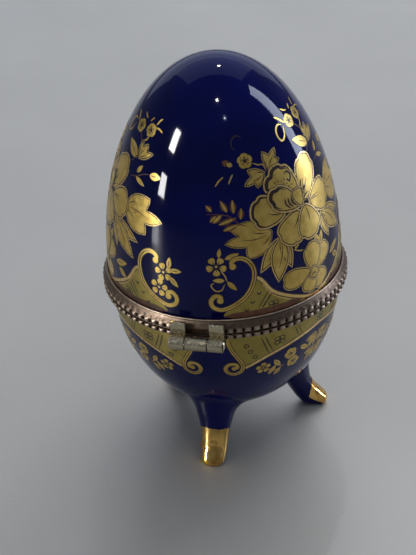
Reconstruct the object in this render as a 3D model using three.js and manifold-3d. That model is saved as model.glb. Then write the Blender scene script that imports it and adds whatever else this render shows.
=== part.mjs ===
// Egg-shaped porcelain trinket box on three splayed feet.
// A tall domed lid is hinged to a round bowl. Each half carries a metal bezel cemented over its rim.
// The hinge stands at the back (+Y) above the rear foot, and a tongue on the lid closes over a stud at
// the front (-Y).
// Millimetres, +Z up. The origin is on the table, on the egg's own axis.
import * as THREE from "three";
import { mergeVertices } from "three/addons/utils/BufferGeometryUtils.js";
import Module from "manifold-3d";

const wasm = await Module();
wasm.setup();

// ---- Driving dimensions ----

const EGG = {
  radius: 28.4, // widest radius of the porcelain
  widestZ: 51.0,
  topZ: 100.5,
  bottomZ: 9.3,
  upper: { bulge: 1.9, root: 2.04 }, // exponents of the profile above the widest point
  lower: { bulge: 2.55, root: 2.03 }, // and below it
};
const SEAM_Z = 45.0;
const GAP = 0.3; // left between pieces that touch on the real box
const TURNS = 48; // facets round the axis, the same on every ring so that their flats line up
const WALL = 2.6; // porcelain thickness
const CEMENT_BED = 0.7;

const BEZEL = {
  radius: 30.0,
  sheet: 0.55,
  edge: 0.35, // chamfer on the edge beside the seam
  rim: 0.6, // how far the drawn-in edge stands out from where the metal meets the porcelain
  beadHeight: 1.4, // from the seam to the top of the lid's bead row, above which the band draws in
  seamGap: 0.12, // from each bezel to the seam plane
  lidHeight: 3.5,
  baseHeight: 1.8,
  channelInner: 25.25, // inner radius of the channel that the porcelain rim sits in
  innerHeight: 2.6,
  lipSheet: 0.5, // the lip on the base that stands up inside the lid's bezel
  lipHeight: 1.3,
};
const HINGE = {
  y: 32.1,
  z: SEAM_Z - 1.0,
  barrelRadius: 1.7,
  boreRadius: 0.8,
  pinRadius: 0.7,
  headRadius: 1.1,
  headThickness: 0.3,
  length: 12.3,
  centreLength: 5.0,
  slit: 0.28, // between neighbouring knuckles
  strap: 0.75, // thickness of the lid knuckles' straps
  facets: 16, // round the bore and the pin
};
const CLASP = {
  width: 6.2,
  sheet: 0.6,
  topZ: SEAM_Z + 3.2,
  joggleZ: SEAM_Z + 1.6, // where the tongue steps out to clear the stud
  tongueY: 31.4, // how far out its inner face stands below the joggle
  lipZ: SEAM_Z - 3.4,
  lipThickness: 0.55,
  studZ: SEAM_Z - 1.0,
  studRadius: 0.7,
  windowRadius: 1.15,
  clearance: 0.15, // between the stud's tip and the tongue's inner face
};
const FOOT = {
  // The feet are set by hand, so their directions and their reach from the axis differ a little.
  places: [
    { name: "foot_rear", azimuthDeg: 88, reach: 0.78 },
    { name: "foot_front_left", azimuthDeg: 201, reach: 1.02 },
    { name: "foot_front_right", azimuthDeg: 325, reach: 0.9 },
  ],
  // From the bowl to the toe: [distance from the axis, height, half the width, thickness above the
  // middle line, thickness below it].
  stations: [
    [15.6, 14.5, 5.4, 5.2, 5.2],
    [17.0, 10.2, 4.15, 3.8, 3.8],
    [18.1, 7.2, 3.5, 3.1, 3.2],
    [19.8, 4.3, 3.25, 2.8, 3.3],
    [21.5, 2.75, 3.15, 2.4, 3.5],
    [23.2, 1.35, 2.9, 1.9, 2.4],
    [23.85, 0.7, 2.5, 1.65, 2.0],
    [24.3, 0.25, 1.75, 1.1, 1.4],
  ],
  toeTip: 24.6,
  sides: 16,
  rings: 14,
};

const material = (color, roughness, metalness) =>
  new THREE.MeshStandardMaterial({ color, roughness, metalness });
const glaze = material(0x0a0f4a, 0.12, 0.0);
const bezelMetal = material(0x7d6c55, 0.42, 1.0);
const hingeMetal = material(0x9c8c6a, 0.35, 1.0);
const cement = material(0xb8a78c, 0.85, 0.0);

// ---- Shared geometry ----

function eggRadius(z) {
  const { bulge, root } = z >= EGG.widestZ ? EGG.upper : EGG.lower;
  const pole = z >= EGG.widestZ ? EGG.topZ : EGG.bottomZ;
  const share = Math.min(1, Math.max(0, (z - EGG.widestZ) / (pole - EGG.widestZ)));
  return EGG.radius * (1 - share ** bulge) ** (1 / root);
}

// The point [r, z] at a distance outside the egg's surface, measured square to it.
function besideEgg(z, distance) {
  const step = 0.01;
  const slope = (eggRadius(z + step) - eggRadius(z - step)) / (2 * step);
  const length = Math.hypot(1, slope);
  return [eggRadius(z) + distance / length, z - (distance * slope) / length];
}

// Points [r, z] from a height to a pole, closer together near the pole, where the profile turns fastest.
function eggProfile(fromZ, poleZ, steps, distance = 0) {
  const points = [];
  for (let i = 0; i < steps; i++) {
    const share = Math.sin(((i / steps) * Math.PI) / 2);
    points.push(besideEgg(fromZ + (poleZ - fromZ) * share, distance));
  }
  points.push([0, poleZ + Math.sign(poleZ - fromZ) * distance]);
  return points;
}

// A solid turned about Z from [r, z] points. The profile starts and ends on the axis, or closes on itself.
function turned(points) {
  const profile = points.map(([r, z]) => new THREE.Vector2(r, z));
  return new THREE.LatheGeometry(profile, TURNS).rotateX(Math.PI / 2);
}

const ring = (points) => turned([...points, points[0]]);

// An outline of [y, z] points, with holes, extruded along X.
function extrudedAlongX(outline, fromX, toX, holes = []) {
  const vectors = (points) => points.map(([y, z]) => new THREE.Vector2(y, z));
  const shape = new THREE.Shape(vectors(outline));
  shape.holes = holes.map((hole) => new THREE.Path(vectors(hole)));
  const geometry = new THREE.ExtrudeGeometry(shape, { depth: toX - fromX, bevelEnabled: false });
  const yzx = new THREE.Matrix4().makeBasis(
    new THREE.Vector3(0, 1, 0),
    new THREE.Vector3(0, 0, 1),
    new THREE.Vector3(1, 0, 0),
  );
  return geometry.applyMatrix4(yzx).translate(fromX, 0, 0);
}

// Points on an arc, in degrees from +Y towards +Z.
function arc([y, z], radius, fromDeg, toDeg, steps) {
  return Array.from({ length: steps + 1 }, (_, i) => {
    const angle = THREE.MathUtils.degToRad(fromDeg + ((toDeg - fromDeg) * i) / steps);
    return [y + radius * Math.cos(angle), z + radius * Math.sin(angle)];
  });
}

function solidOf(geometry) {
  const plain = geometry.clone();
  plain.deleteAttribute("normal");
  plain.deleteAttribute("uv");
  const merged = mergeVertices(plain);
  return new wasm.Manifold(
    new wasm.Mesh({
      numProp: 3,
      vertProperties: merged.attributes.position.array,
      triVerts: new Uint32Array(merged.index.array),
    }),
  );
}

function geometryOf(solid) {
  const { vertProperties, triVerts } = solid.getMesh();
  const geometry = new THREE.BufferGeometry();
  geometry.setAttribute("position", new THREE.BufferAttribute(vertProperties, 3));
  geometry.setIndex(new THREE.BufferAttribute(triVerts, 1));
  geometry.computeVertexNormals();
  return geometry;
}

function piece(name, geometry, finish) {
  const mesh = new THREE.Mesh(geometry, finish);
  mesh.name = name;
  return mesh;
}

// ---- Porcelain ----

const rimHeight = BEZEL.seamGap + BEZEL.sheet + GAP + CEMENT_BED + GAP; // from the seam to a porcelain rim

// A shell from its rim to a pole: the outer surface, and the inner surface one wall inside it.
function lidShell() {
  const rimZ = SEAM_Z + rimHeight;
  const outer = eggProfile(rimZ, EGG.topZ, 14);
  const inner = eggProfile(rimZ, EGG.topZ, 11, -WALL);
  inner[0][1] = rimZ;
  return turned([...inner.reverse(), ...outer]);
}

function baseBowl() {
  const rimZ = SEAM_Z - rimHeight;
  const outer = eggProfile(rimZ, EGG.bottomZ, 10);
  const inner = eggProfile(rimZ, EGG.bottomZ, 9, -WALL);
  inner[0][1] = rimZ;
  return turned([...outer.reverse(), ...inner]);
}

// A leg along +X, as oval rings round its middle line with a cap at each end.
function legBlank(reach) {
  const { stations, sides, rings } = FOOT;
  const rootX = stations[0][0];
  const reachedX = (x) => rootX + (x - rootX) * reach;
  const line = new THREE.CatmullRomCurve3(stations.map(([x, z]) => new THREE.Vector3(reachedX(x), 0, z)));
  const size = new THREE.CatmullRomCurve3(stations.map(([, , ...sizes]) => new THREE.Vector3(...sizes)));
  const across = new THREE.Vector3(0, 1, 0);
  const vertices = [];
  for (let i = 0; i <= rings; i++) {
    const share = i / rings;
    const up = line.getTangent(share).cross(across);
    const { x: halfWidth, y: above, z: below } = size.getPoint(share);
    for (let k = 0; k < sides; k++) {
      const angle = (k / sides) * 2 * Math.PI;
      const point = line
        .getPoint(share)
        .addScaledVector(across, halfWidth * Math.cos(angle))
        .addScaledVector(up, (k < sides / 2 ? above : below) * Math.sin(angle));
      vertices.push(...point.toArray());
    }
  }
  const rootCap = vertices.length / 3;
  const toeCap = rootCap + 1;
  vertices.push(...line.getPoint(0).toArray(), reachedX(FOOT.toeTip), 0, line.getPoint(1).z);
  const faces = [];
  for (let k = 0; k < sides; k++) {
    const next = (k + 1) % sides;
    for (let i = 0; i < rings; i++) {
      const near = i * sides;
      const far = near + sides;
      faces.push(near + k, near + next, far + k, near + next, far + next, far + k);
    }
    faces.push(rootCap, next, k);
    faces.push(toeCap, rings * sides + k, rings * sides + next);
  }
  const geometry = new THREE.BufferGeometry();
  geometry.setAttribute("position", new THREE.Float32BufferAttribute(vertices, 3));
  geometry.setIndex(faces);
  return geometry;
}

// The leg turned to its place, trimmed below the bowl and flat on the table.
function foot({ azimuthDeg, reach }) {
  const size = 4 * EGG.radius;
  const aboveTable = new THREE.BoxGeometry(size, size, size).translate(0, 0, size / 2);
  const bowlSpace = turned([...eggProfile(SEAM_Z, EGG.bottomZ, 20, GAP).reverse(), [0, SEAM_Z]]);
  const leg = solidOf(legBlank(reach).rotateZ(THREE.MathUtils.degToRad(azimuthDeg)));
  return geometryOf(leg.intersect(solidOf(aboveTable)).subtract(solidOf(bowlSpace)));
}

// ---- Metal rims ----

// The section of a channel that holds a porcelain rim. Its outer wall draws in above the bead row and is
// rolled over to meet the porcelain. side is +1 for the lid's, which opens upwards, and -1 for the base's.
function channelSection(side, outerHeight) {
  const { radius, sheet, edge, seamGap, channelInner, innerHeight } = BEZEL;
  const z = (height) => SEAM_Z + side * height;
  const rolledIn = besideEgg(z(outerHeight), GAP)[0];
  const rim = rolledIn + BEZEL.rim;
  const beadHeight = Math.min(BEZEL.beadHeight, outerHeight - BEZEL.rim);
  const points = [
    [channelInner - sheet, z(seamGap)],
    [radius - edge, z(seamGap)],
    [radius, z(seamGap + edge)],
    [radius, z(beadHeight)],
    [rim, z(outerHeight - edge / 2)],
    [rim - edge / 2, z(outerHeight)],
    [rolledIn, z(outerHeight)],
    [rolledIn, z(outerHeight - sheet)],
    [radius - sheet, z(beadHeight)],
    [radius - sheet, z(seamGap + sheet)],
    [channelInner, z(seamGap + sheet)],
    [channelInner, z(innerHeight)],
    [channelInner - sheet, z(innerHeight)],
  ];
  return side > 0 ? points : points.reverse();
}

// The base's channel, with the lip that centres the lid folded up from the foot of its inner wall.
function baseBezel() {
  const { sheet, channelInner, innerHeight, lipSheet, lipHeight } = BEZEL;
  const channel = solidOf(ring(channelSection(-1, BEZEL.baseHeight)));
  const middleOfWall = channelInner - sheet / 2;
  const lipOuter = channelInner - sheet - GAP;
  const foldZ = SEAM_Z - innerHeight;
  const lip = ring([
    [lipOuter - lipSheet, foldZ],
    [middleOfWall, foldZ],
    [middleOfWall, foldZ + sheet],
    [lipOuter, foldZ + sheet],
    [lipOuter, SEAM_Z + lipHeight],
    [lipOuter - lipSheet, SEAM_Z + lipHeight],
  ]);
  return geometryOf(channel.add(solidOf(lip)));
}

// The cement between the floor of a channel and the porcelain rim in it, as wide as the rim.
function cementBed(side) {
  const near = SEAM_Z + side * (BEZEL.seamGap + BEZEL.sheet + GAP);
  const [low, high] = [near, near + side * CEMENT_BED].sort((a, b) => a - b);
  const inner = BEZEL.channelInner + GAP;
  const outer = eggRadius(SEAM_Z + side * rimHeight);
  return ring([
    [inner, low],
    [outer, low],
    [outer, high],
    [inner, high],
  ]);
}

// ---- Hinge ----

const bandFace = BEZEL.radius + GAP; // where a fitting soldered to a bezel starts
const hingeAxis = [HINGE.y, HINGE.z];
const boreOutline = arc(hingeAxis, HINGE.boreRadius, 0, 360 - 360 / HINGE.facets, HINGE.facets - 1);

// A strap down the lid's bezel, rolled round the pin.
function lidKnuckle(fromX, toX) {
  const { y, barrelRadius, strap } = HINGE;
  const strapFace = bandFace + strap;
  const joinDeg = THREE.MathUtils.radToDeg(Math.acos((strapFace - y) / barrelRadius));
  const outline = [
    ...arc(hingeAxis, barrelRadius, 170 - 360, joinDeg, 20),
    [strapFace, SEAM_Z + BEZEL.lidHeight],
    [bandFace, SEAM_Z + BEZEL.lidHeight],
  ];
  return extrudedAlongX(outline, fromX, toX, [boreOutline]);
}

// The base's barrel, on a short flange soldered to the base's bezel.
function baseKnuckle() {
  const half = HINGE.centreLength / 2;
  const flange = 0.75;
  const outline = [
    ...arc(hingeAxis, HINGE.barrelRadius, -154, 154, 18),
    [bandFace, HINGE.z + flange],
    [bandFace, HINGE.z - flange],
  ];
  return extrudedAlongX(outline, -half, half, [boreOutline]);
}

// The pin, with both ends peened over outside the knuckles.
function hingePin() {
  const { pinRadius, headRadius, headThickness, length, facets } = HINGE;
  const shoulder = length / 2 + 0.1;
  const half = [
    [pinRadius, shoulder],
    [headRadius, shoulder],
    [headRadius * 0.8, shoulder + headThickness],
    [0, shoulder + headThickness],
  ];
  const mirrored = half.map(([r, along]) => [r, -along]).reverse();
  const profile = [...mirrored, ...half].map(([r, along]) => new THREE.Vector2(r, along));
  const pin = new THREE.LatheGeometry(profile, facets);
  return pin.rotateZ(Math.PI / 2).translate(0, HINGE.y, HINGE.z);
}

// ---- Clasp ----

// A tongue soldered to the lid's bezel. It steps out past the stud, has a window over the stud, and ends
// in a thumb lip that reaches as far forward as the hinge reaches back.
function claspTongue() {
  const { width, sheet, topZ, joggleZ, tongueY, lipZ, lipThickness } = CLASP;
  const reach = HINGE.y + HINGE.barrelRadius;
  const outline = [
    [-bandFace, topZ],
    [-bandFace - sheet, topZ],
    [-bandFace - sheet, joggleZ],
    [-tongueY - sheet, joggleZ - sheet],
    [-tongueY - sheet, lipZ + 0.7],
    [-reach, lipZ + 0.4],
    [-reach, lipZ - lipThickness + 0.4],
    [-tongueY - 0.3, lipZ - 0.25],
    [-tongueY, lipZ + 0.15],
    [-tongueY, joggleZ - 0.9 * sheet],
    [-bandFace, joggleZ],
  ];
  const blank = solidOf(extrudedAlongX(outline, -width / 2, width / 2));
  const window = new THREE.CylinderGeometry(CLASP.windowRadius, CLASP.windowRadius, 4 * sheet, 20);
  window.translate(0, -tongueY - sheet / 2, CLASP.studZ);
  return geometryOf(blank.subtract(solidOf(window)));
}

// A domed stud on the base's bezel. It stops just short of the tongue.
function claspStud() {
  const { studRadius, studZ, tongueY, clearance } = CLASP;
  const tip = tongueY - clearance;
  const profile = [
    [0, bandFace],
    [studRadius * 0.8, bandFace],
    [studRadius * 0.8, bandFace + 0.25],
    [studRadius, tip - 0.35],
    [studRadius * 0.7, tip - 0.1],
    [0, tip],
  ];
  const points = profile.map(([r, along]) => new THREE.Vector2(r, along));
  return new THREE.LatheGeometry(points, 16).rotateX(Math.PI).translate(0, 0, studZ);
}

// ---- Assembly ----

const base = new THREE.Group();
base.add(piece("base_bowl", baseBowl(), glaze));
FOOT.places.forEach((place) => base.add(piece(place.name, foot(place), glaze)));
base.add(piece("base_bezel", baseBezel(), bezelMetal));
base.add(piece("base_cement", cementBed(-1), cement));
base.add(piece("base_hinge_knuckle", baseKnuckle(), hingeMetal));
base.add(piece("hinge_pin", hingePin(), hingeMetal));
base.add(piece("clasp_stud", claspStud(), hingeMetal));

const lid = new THREE.Group();
const knuckleNear = HINGE.centreLength / 2 + HINGE.slit;
const knuckleFar = HINGE.length / 2;
lid.add(piece("lid_shell", lidShell(), glaze));
lid.add(piece("lid_bezel", ring(channelSection(1, BEZEL.lidHeight)), bezelMetal));
lid.add(piece("lid_cement", cementBed(1), cement));
lid.add(piece("lid_hinge_knuckle_left", lidKnuckle(-knuckleFar, -knuckleNear), hingeMetal));
lid.add(piece("lid_hinge_knuckle_right", lidKnuckle(knuckleNear, knuckleFar), hingeMetal));
lid.add(piece("clasp_tongue", claspTongue(), hingeMetal));

const box = new THREE.Group();
box.add(base, lid);

export default box;
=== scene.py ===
# Looks of the egg-shaped porcelain trinket box: glazed shells, flared legs with gilt toes, beaded bezels,
# the hinge and clasp, and the gold flower and border decoration, laid on the glaze as thin raised patches.
# Dimensions are in millimetres and degrees, in the CAD model's frame. Meshes are made in metres.
# An azimuth "from the hinge" is 0 at +Y and grows towards -X.
# Arc length s is 0 at the seam and grows upwards.
import math

import bpy
import numpy as np
from mathutils import Matrix, Vector
from mathutils.geometry import delaunay_2d_cdt


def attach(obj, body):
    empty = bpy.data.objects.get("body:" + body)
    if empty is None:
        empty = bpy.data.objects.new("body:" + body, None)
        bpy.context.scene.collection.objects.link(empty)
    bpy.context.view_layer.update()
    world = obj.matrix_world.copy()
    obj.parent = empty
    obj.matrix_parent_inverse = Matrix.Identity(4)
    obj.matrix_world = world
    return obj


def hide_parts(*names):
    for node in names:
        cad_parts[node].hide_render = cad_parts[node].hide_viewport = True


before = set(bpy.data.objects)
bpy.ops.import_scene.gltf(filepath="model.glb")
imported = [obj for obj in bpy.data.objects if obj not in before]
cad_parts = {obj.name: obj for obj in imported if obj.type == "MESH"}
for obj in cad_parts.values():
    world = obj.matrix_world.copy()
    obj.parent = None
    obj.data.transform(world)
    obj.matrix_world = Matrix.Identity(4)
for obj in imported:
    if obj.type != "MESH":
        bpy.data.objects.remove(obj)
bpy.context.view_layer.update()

# ---- Driving dimensions, the same as the CAD model's ----

MM = 0.001
RADIUS = 28.4
WIDEST_Z = 51.0
TOP_Z = 100.5
BOTTOM_Z = 9.3
SEAM_Z = 45.0
RIM = 1.97  # from the seam to each porcelain rim
WALL = 2.6
GAP = 0.3
TURNS = 192  # facets round the porcelain

BAND_RADIUS = 30.0
BEADS = 90
HINGE_Y = 32.1
HINGE_Z = 44.0
HINGE_HALF = 6.15

CAMERA = {
    "azimuth": 103.3,
    "distance": 272.6,
    "height": 212.5,
    "turn": 193.3,
    "yaw": -0.016,
    "pitch": 0.559,
    "roll": -0.063,
    "lens": 84.3,
}


# ---- The egg's surface ----


def egg_radius(z):
    z = np.asarray(z, float)
    upper = z >= WIDEST_Z
    share = np.where(upper, (z - WIDEST_Z) / (TOP_Z - WIDEST_Z), (WIDEST_Z - z) / (WIDEST_Z - BOTTOM_Z))
    bulge = np.where(upper, 1.9, 2.55)
    root = np.where(upper, 2.04, 2.03)
    return RADIUS * (1 - np.clip(share, 0, 1) ** bulge) ** (1 / root)


def profile_table():
    """Heights, radii, arc lengths from the seam and outward normals [r, z] along the egg's profile."""
    turn = np.linspace(0, math.pi, 3000)
    z = BOTTOM_Z + (TOP_Z - BOTTOM_Z) * (1 - np.cos(turn)) / 2
    r = egg_radius(z)
    arc = np.concatenate([[0], np.cumsum(np.hypot(np.diff(z), np.diff(r)))])
    arc -= np.interp(SEAM_Z, z, arc)
    along_r = np.gradient(r, arc)
    along_z = np.gradient(z, arc)
    length = np.hypot(along_r, along_z)
    return z, r, arc, along_z / length, -along_r / length


EGG_Z, EGG_R, EGG_S, EGG_NR, EGG_NZ = profile_table()


def arc_at(z):
    return float(np.interp(z, EGG_Z, EGG_S))


def radius_at_arc(s):
    return np.interp(s, EGG_S, EGG_R)


def on_egg(from_hinge, s, height):
    """Points at an azimuth from the hinge, an arc length and a height above the glaze."""
    r = np.interp(s, EGG_S, EGG_R) + np.interp(s, EGG_S, EGG_NR) * height
    z = np.interp(s, EGG_S, EGG_Z) + np.interp(s, EGG_S, EGG_NZ) * height
    turn = np.radians(np.asarray(from_hinge, float))
    return np.stack([-r * np.sin(turn), r * np.cos(turn), z + 0 * turn], -1)


def egg_normals(from_hinge, s):
    """Outward normals of the egg at an azimuth from the hinge and an arc length."""
    turn = np.radians(np.asarray(from_hinge, float))
    across = np.interp(s, EGG_S, EGG_NR)
    return np.stack([-across * np.sin(turn), across * np.cos(turn), np.interp(s, EGG_S, EGG_NZ)], -1)


def beside_egg(z, distance):
    """The point [r, z] at a distance outside the egg's surface."""
    s = arc_at(z)
    r = float(egg_radius(z)) + np.interp(s, EGG_S, EGG_NR) * distance
    return [float(r), float(z + np.interp(s, EGG_S, EGG_NZ) * distance)]


# ---- Curves ----


def smooth_curve(points, steps=6, closed=False):
    """A Catmull-Rom curve through points of any dimension."""
    p = np.asarray(points, float)
    if closed:
        p = np.concatenate([p[-1:], p, p[:2]])
    else:
        p = np.concatenate([2 * p[:1] - p[1:2], p, 2 * p[-1:] - p[-2:-1]])
    t = (np.arange(steps) / steps)[:, None]
    spans = []
    for a, b, c, d in zip(p, p[1:], p[2:], p[3:]):
        bend = 2 * a - 5 * b + 4 * c - d
        twist = 3 * b - a - 3 * c + d
        spans.append(0.5 * (2 * b + (c - a) * t + bend * t**2 + twist * t**3))
    curve = np.concatenate(spans)
    return curve if closed else np.concatenate([curve, p[-2:-1]])


def lengths_along(line):
    """The distance along a line of points to each of them."""
    return np.concatenate([[0], np.cumsum(np.linalg.norm(np.diff(line, axis=0), axis=1))])


def respaced(line, count, from_end=False):
    """Evenly spaced points along a line of points in space."""
    length = lengths_along(line)
    wanted = np.linspace(length[-1], 0, count) if from_end else np.linspace(0, length[-1], count)
    return np.stack([np.interp(wanted, length, line[:, i]) for i in range(3)], -1)


def turned_by(points, degrees):
    a = math.radians(degrees)
    spin = np.array([[math.cos(a), math.sin(a)], [-math.sin(a), math.cos(a)]])
    return np.asarray(points, float) @ spin


def side_normals(path, closed=False):
    """Unit normals to the left of a 2-D path."""
    if closed:
        ahead = np.roll(path, -1, 0) - np.roll(path, 1, 0)
    else:
        ahead = np.gradient(path, axis=0)
    ahead = ahead / np.maximum(np.linalg.norm(ahead, axis=1, keepdims=True), 1e-9)
    return np.stack([-ahead[:, 1], ahead[:, 0]], -1)


def inset(outline, distance):
    """An anticlockwise outline moved inwards."""
    return outline + side_normals(outline, closed=True) * distance


def contains(outline, points):
    """Which points lie inside an outline, by counting crossings."""
    inside = np.zeros(len(points), bool)
    for (x0, y0), (x1, y1) in zip(outline, np.roll(outline, -1, 0)):
        if y0 == y1:
            continue
        spans = (y0 > points[:, 1]) != (y1 > points[:, 1])
        inside ^= spans & (points[:, 0] < (x1 - x0) * (points[:, 1] - y0) / (y1 - y0) + x0)
    return inside


def triangulated(loops, inner_points=(), hole=None, tolerance=1e-5):
    """Points and anticlockwise triangles that fill closed loops of flat points. hole is the centre and
    radius of a round opening, which stays open."""
    edges = []
    for loop in loops:
        start, count = len(edges), len(loop)
        edges += [(start + i, start + (i + 1) % count) for i in range(count)]
    points = [Vector(p) for p in (*np.concatenate(loops), *inner_points)]
    made = delaunay_2d_cdt(points, edges, [], 1, tolerance)
    flat = np.array([tuple(p) for p in made[0]])
    faces = []
    for a, b, c in made[2]:
        if hole and np.linalg.norm(flat[[a, b, c]].mean(0) - hole[0]) < hole[1]:
            continue
        area = np.cross(flat[b] - flat[a], flat[c] - flat[a])
        faces.append((a, b, c) if area > 0 else (a, c, b))
    return flat, faces


def filled(outline, spacing):
    """Points and triangles that fill an outline, with points every spacing inside it."""
    outline = np.asarray(outline, float)
    low, high = outline.min(0) + spacing / 2, outline.max(0)
    xs, ys = np.meshgrid(np.arange(low[0], high[0], spacing), np.arange(low[1], high[1], spacing))
    grid = np.stack([xs, ys], -1).reshape(-1, 2)
    grid = grid[contains(outline, grid)]
    if len(grid):
        nearest = np.linalg.norm(grid[:, None] - outline[None], axis=2).min(1)
        grid = grid[nearest > 0.45 * spacing]
    return triangulated([outline], grid)


def anticlockwise(outline):
    """The outline, turned round if it runs clockwise."""
    after = np.roll(outline, -1, 0)
    area = (outline[:, 0] * after[:, 1] - outline[:, 1] * after[:, 0]).sum()
    return outline if area > 0 else outline[::-1]


def rim_edges(faces):
    """The edges that only one face has, in that face's order."""
    edges = {}
    for face in faces:
        for a, b in zip(face, (*face[1:], face[0])):
            edges[(a, b)] = edges.get((a, b), 0) + 1
    return [(a, b) for (a, b) in edges if (b, a) not in edges]


# ---- Meshes ----


def add_piece(name, body, points, faces, materials, face_slots=None, sharp=35.0):
    """A smooth-shaded mesh of millimetre points that rides on a body, with edges past the sharp angle
    kept."""
    mesh = bpy.data.meshes.new(name)
    mesh.from_pydata((np.asarray(points, float) * MM).tolist(), [], [tuple(f) for f in faces])
    for material in materials:
        mesh.materials.append(material)
    if face_slots is not None:
        mesh.polygons.foreach_set("material_index", np.asarray(face_slots, np.int32))
    mesh.shade_smooth()
    mesh.set_sharp_from_angle(angle=math.radians(sharp))
    mesh.update()
    piece = bpy.data.objects.new(name, mesh)
    bpy.context.scene.collection.objects.link(piece)
    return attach(piece, body)


def thick(points, faces):
    """Faces of a closed shell: the given faces on the first layer of points, the same on the second,
    turned over."""
    count = len(points)
    under = [tuple(count + i for i in reversed(face)) for face in faces]
    sides = [(b, a, count + a, count + b) for a, b in rim_edges(faces)]
    return [*faces, *under, *sides]


def grid_faces(rows, columns, closed, looped=False):
    """Quads between rows of points. closed joins the last column to the first, and looped the last row."""
    faces = []
    for i in range(rows if looped else rows - 1):
        here, after = i * columns, (i + 1) % rows * columns
        for k in range(columns if closed else columns - 1):
            m = (k + 1) % columns
            faces.append((here + k, here + m, after + m, after + k))
    return faces


def tip_faces(count, last_ring, first_tip, last_tip):
    """Fans from a tip to the first ring of a tube, and from another to its last ring."""
    faces = []
    for k in range(count):
        m = (k + 1) % count
        faces.append((first_tip, m, k))
        faces.append((last_tip, last_ring + k, last_ring + m))
    return faces


def turned(profile, turns, reshape=None):
    """Points and faces of [r, z] points turned about Z. A profile that starts and ends on the axis is
    closed there, and any other profile closes on itself. reshape moves the points as (r, z, turn) -> r."""
    profile = np.asarray(profile, float)
    on_axis = profile[0, 0] < 1e-6
    rings = profile[1:-1] if on_axis else profile
    turn = np.linspace(0, math.tau, turns, endpoint=False)
    r = np.repeat(rings[:, :1], turns, 1)
    z = np.repeat(rings[:, 1:], turns, 1)
    if reshape:
        r = reshape(r, z, turn[None])
    points = np.stack([r * np.cos(turn), r * np.sin(turn), z], -1).reshape(-1, 3)
    faces = grid_faces(len(rings), turns, closed=True, looped=not on_axis)
    if on_axis:
        first = len(points)
        points = np.concatenate([points, [[0, 0, profile[0, 1]], [0, 0, profile[-1, 1]]]])
        faces += tip_faces(turns, (len(rings) - 1) * turns, first, first + 1)
    return points, faces


# ---- Materials ----


class Finish:
    """A Principled material and the few nodes that give it its pattern."""

    def __init__(self, name, **constants):
        self.material = bpy.data.materials.new(name)
        self.material.use_nodes = True
        self.nodes = self.material.node_tree.nodes
        self.links = self.material.node_tree.links
        self.shader = self.nodes["Principled BSDF"]
        self.place = self.nodes.new("ShaderNodeTexCoord").outputs["Object"]
        for socket, value in constants.items():
            self.shader.inputs[socket.replace("_", " ")].default_value = value

    def link(self, output, socket):
        self.links.new(output, self.shader.inputs[socket])

    def noise(self, size_mm, detail=3.0, roughness=0.5, stretch=None):
        """Noise with features of about this size."""
        node = self.nodes.new("ShaderNodeTexNoise")
        node.inputs["Scale"].default_value = 1.0 / (size_mm * MM)
        node.inputs["Detail"].default_value = detail
        node.inputs["Roughness"].default_value = roughness
        place = self.place
        if stretch:
            mapping = self.nodes.new("ShaderNodeMapping")
            mapping.inputs["Scale"].default_value = stretch
            self.links.new(place, mapping.inputs["Vector"])
            place = mapping.outputs["Vector"]
        self.links.new(place, node.inputs["Vector"])
        return node.outputs["Fac"]

    def specks(self, size_mm):
        node = self.nodes.new("ShaderNodeTexVoronoi")
        node.inputs["Scale"].default_value = 1.0 / (size_mm * MM)
        self.links.new(self.place, node.inputs["Vector"])
        return node.outputs["Distance"]

    def attribute(self, name):
        node = self.nodes.new("ShaderNodeAttribute")
        node.attribute_name = name
        return node.outputs["Fac"]

    def ramp(self, factor, *stops):
        """Colours or values by factor. A stop is (position, colour) or (position, value)."""
        node = self.nodes.new("ShaderNodeValToRGB")
        while len(node.color_ramp.elements) < len(stops):
            node.color_ramp.elements.new(0.5)
        for element, (position, colour) in zip(node.color_ramp.elements, stops):
            element.position = position
            element.color = (*colour, 1) if isinstance(colour, tuple) else (colour, colour, colour, 1)
        self.links.new(factor, node.inputs["Fac"])
        return node.outputs["Color"]

    def vary(self, socket, size_mm, detail, *stops):
        """A socket driven by noise through a ramp."""
        self.link(self.ramp(self.noise(size_mm, detail), *stops), socket)

    def mixed(self, factor, first, second):
        """Colour sockets mixed by a factor socket."""
        node = self.nodes.new("ShaderNodeMix")
        node.data_type = "RGBA"
        self.links.new(factor, node.inputs["Factor"])
        self.links.new(first, node.inputs[6])
        self.links.new(second, node.inputs[7])
        return node.outputs[2]

    def bump(self, *layers):
        """Bump from (height socket, depth in mm) layers."""
        normal = None
        for height, depth_mm in layers:
            node = self.nodes.new("ShaderNodeBump")
            node.inputs["Distance"].default_value = depth_mm * MM
            node.inputs["Strength"].default_value = 1.0
            self.links.new(height, node.inputs["Height"])
            if normal:
                self.links.new(normal, node.inputs["Normal"])
            normal = node.outputs["Normal"]
        self.link(normal, "Normal")


def cobalt_glaze():
    """Deep blue glaze: a little lighter where it runs thin, glassy, with a faint ripple and a few
    pinholes."""
    finish = Finish("cobalt_glaze", IOR=1.4, Specular_IOR_Level=0.3)
    finish.vary("Base Color", 14, 2, (0.3, (0.0006, 0.0020, 0.060)), (0.7, (0.0012, 0.0040, 0.100)))
    finish.vary("Roughness", 5, 3, (0.35, 0.035), (0.7, 0.08))
    finish.bump(
        (finish.noise(9, 1), 0.035), (finish.ramp(finish.specks(1.9), (0.0, 0.0), (0.07, 1.0)), 0.012)
    )
    return finish.material


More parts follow.
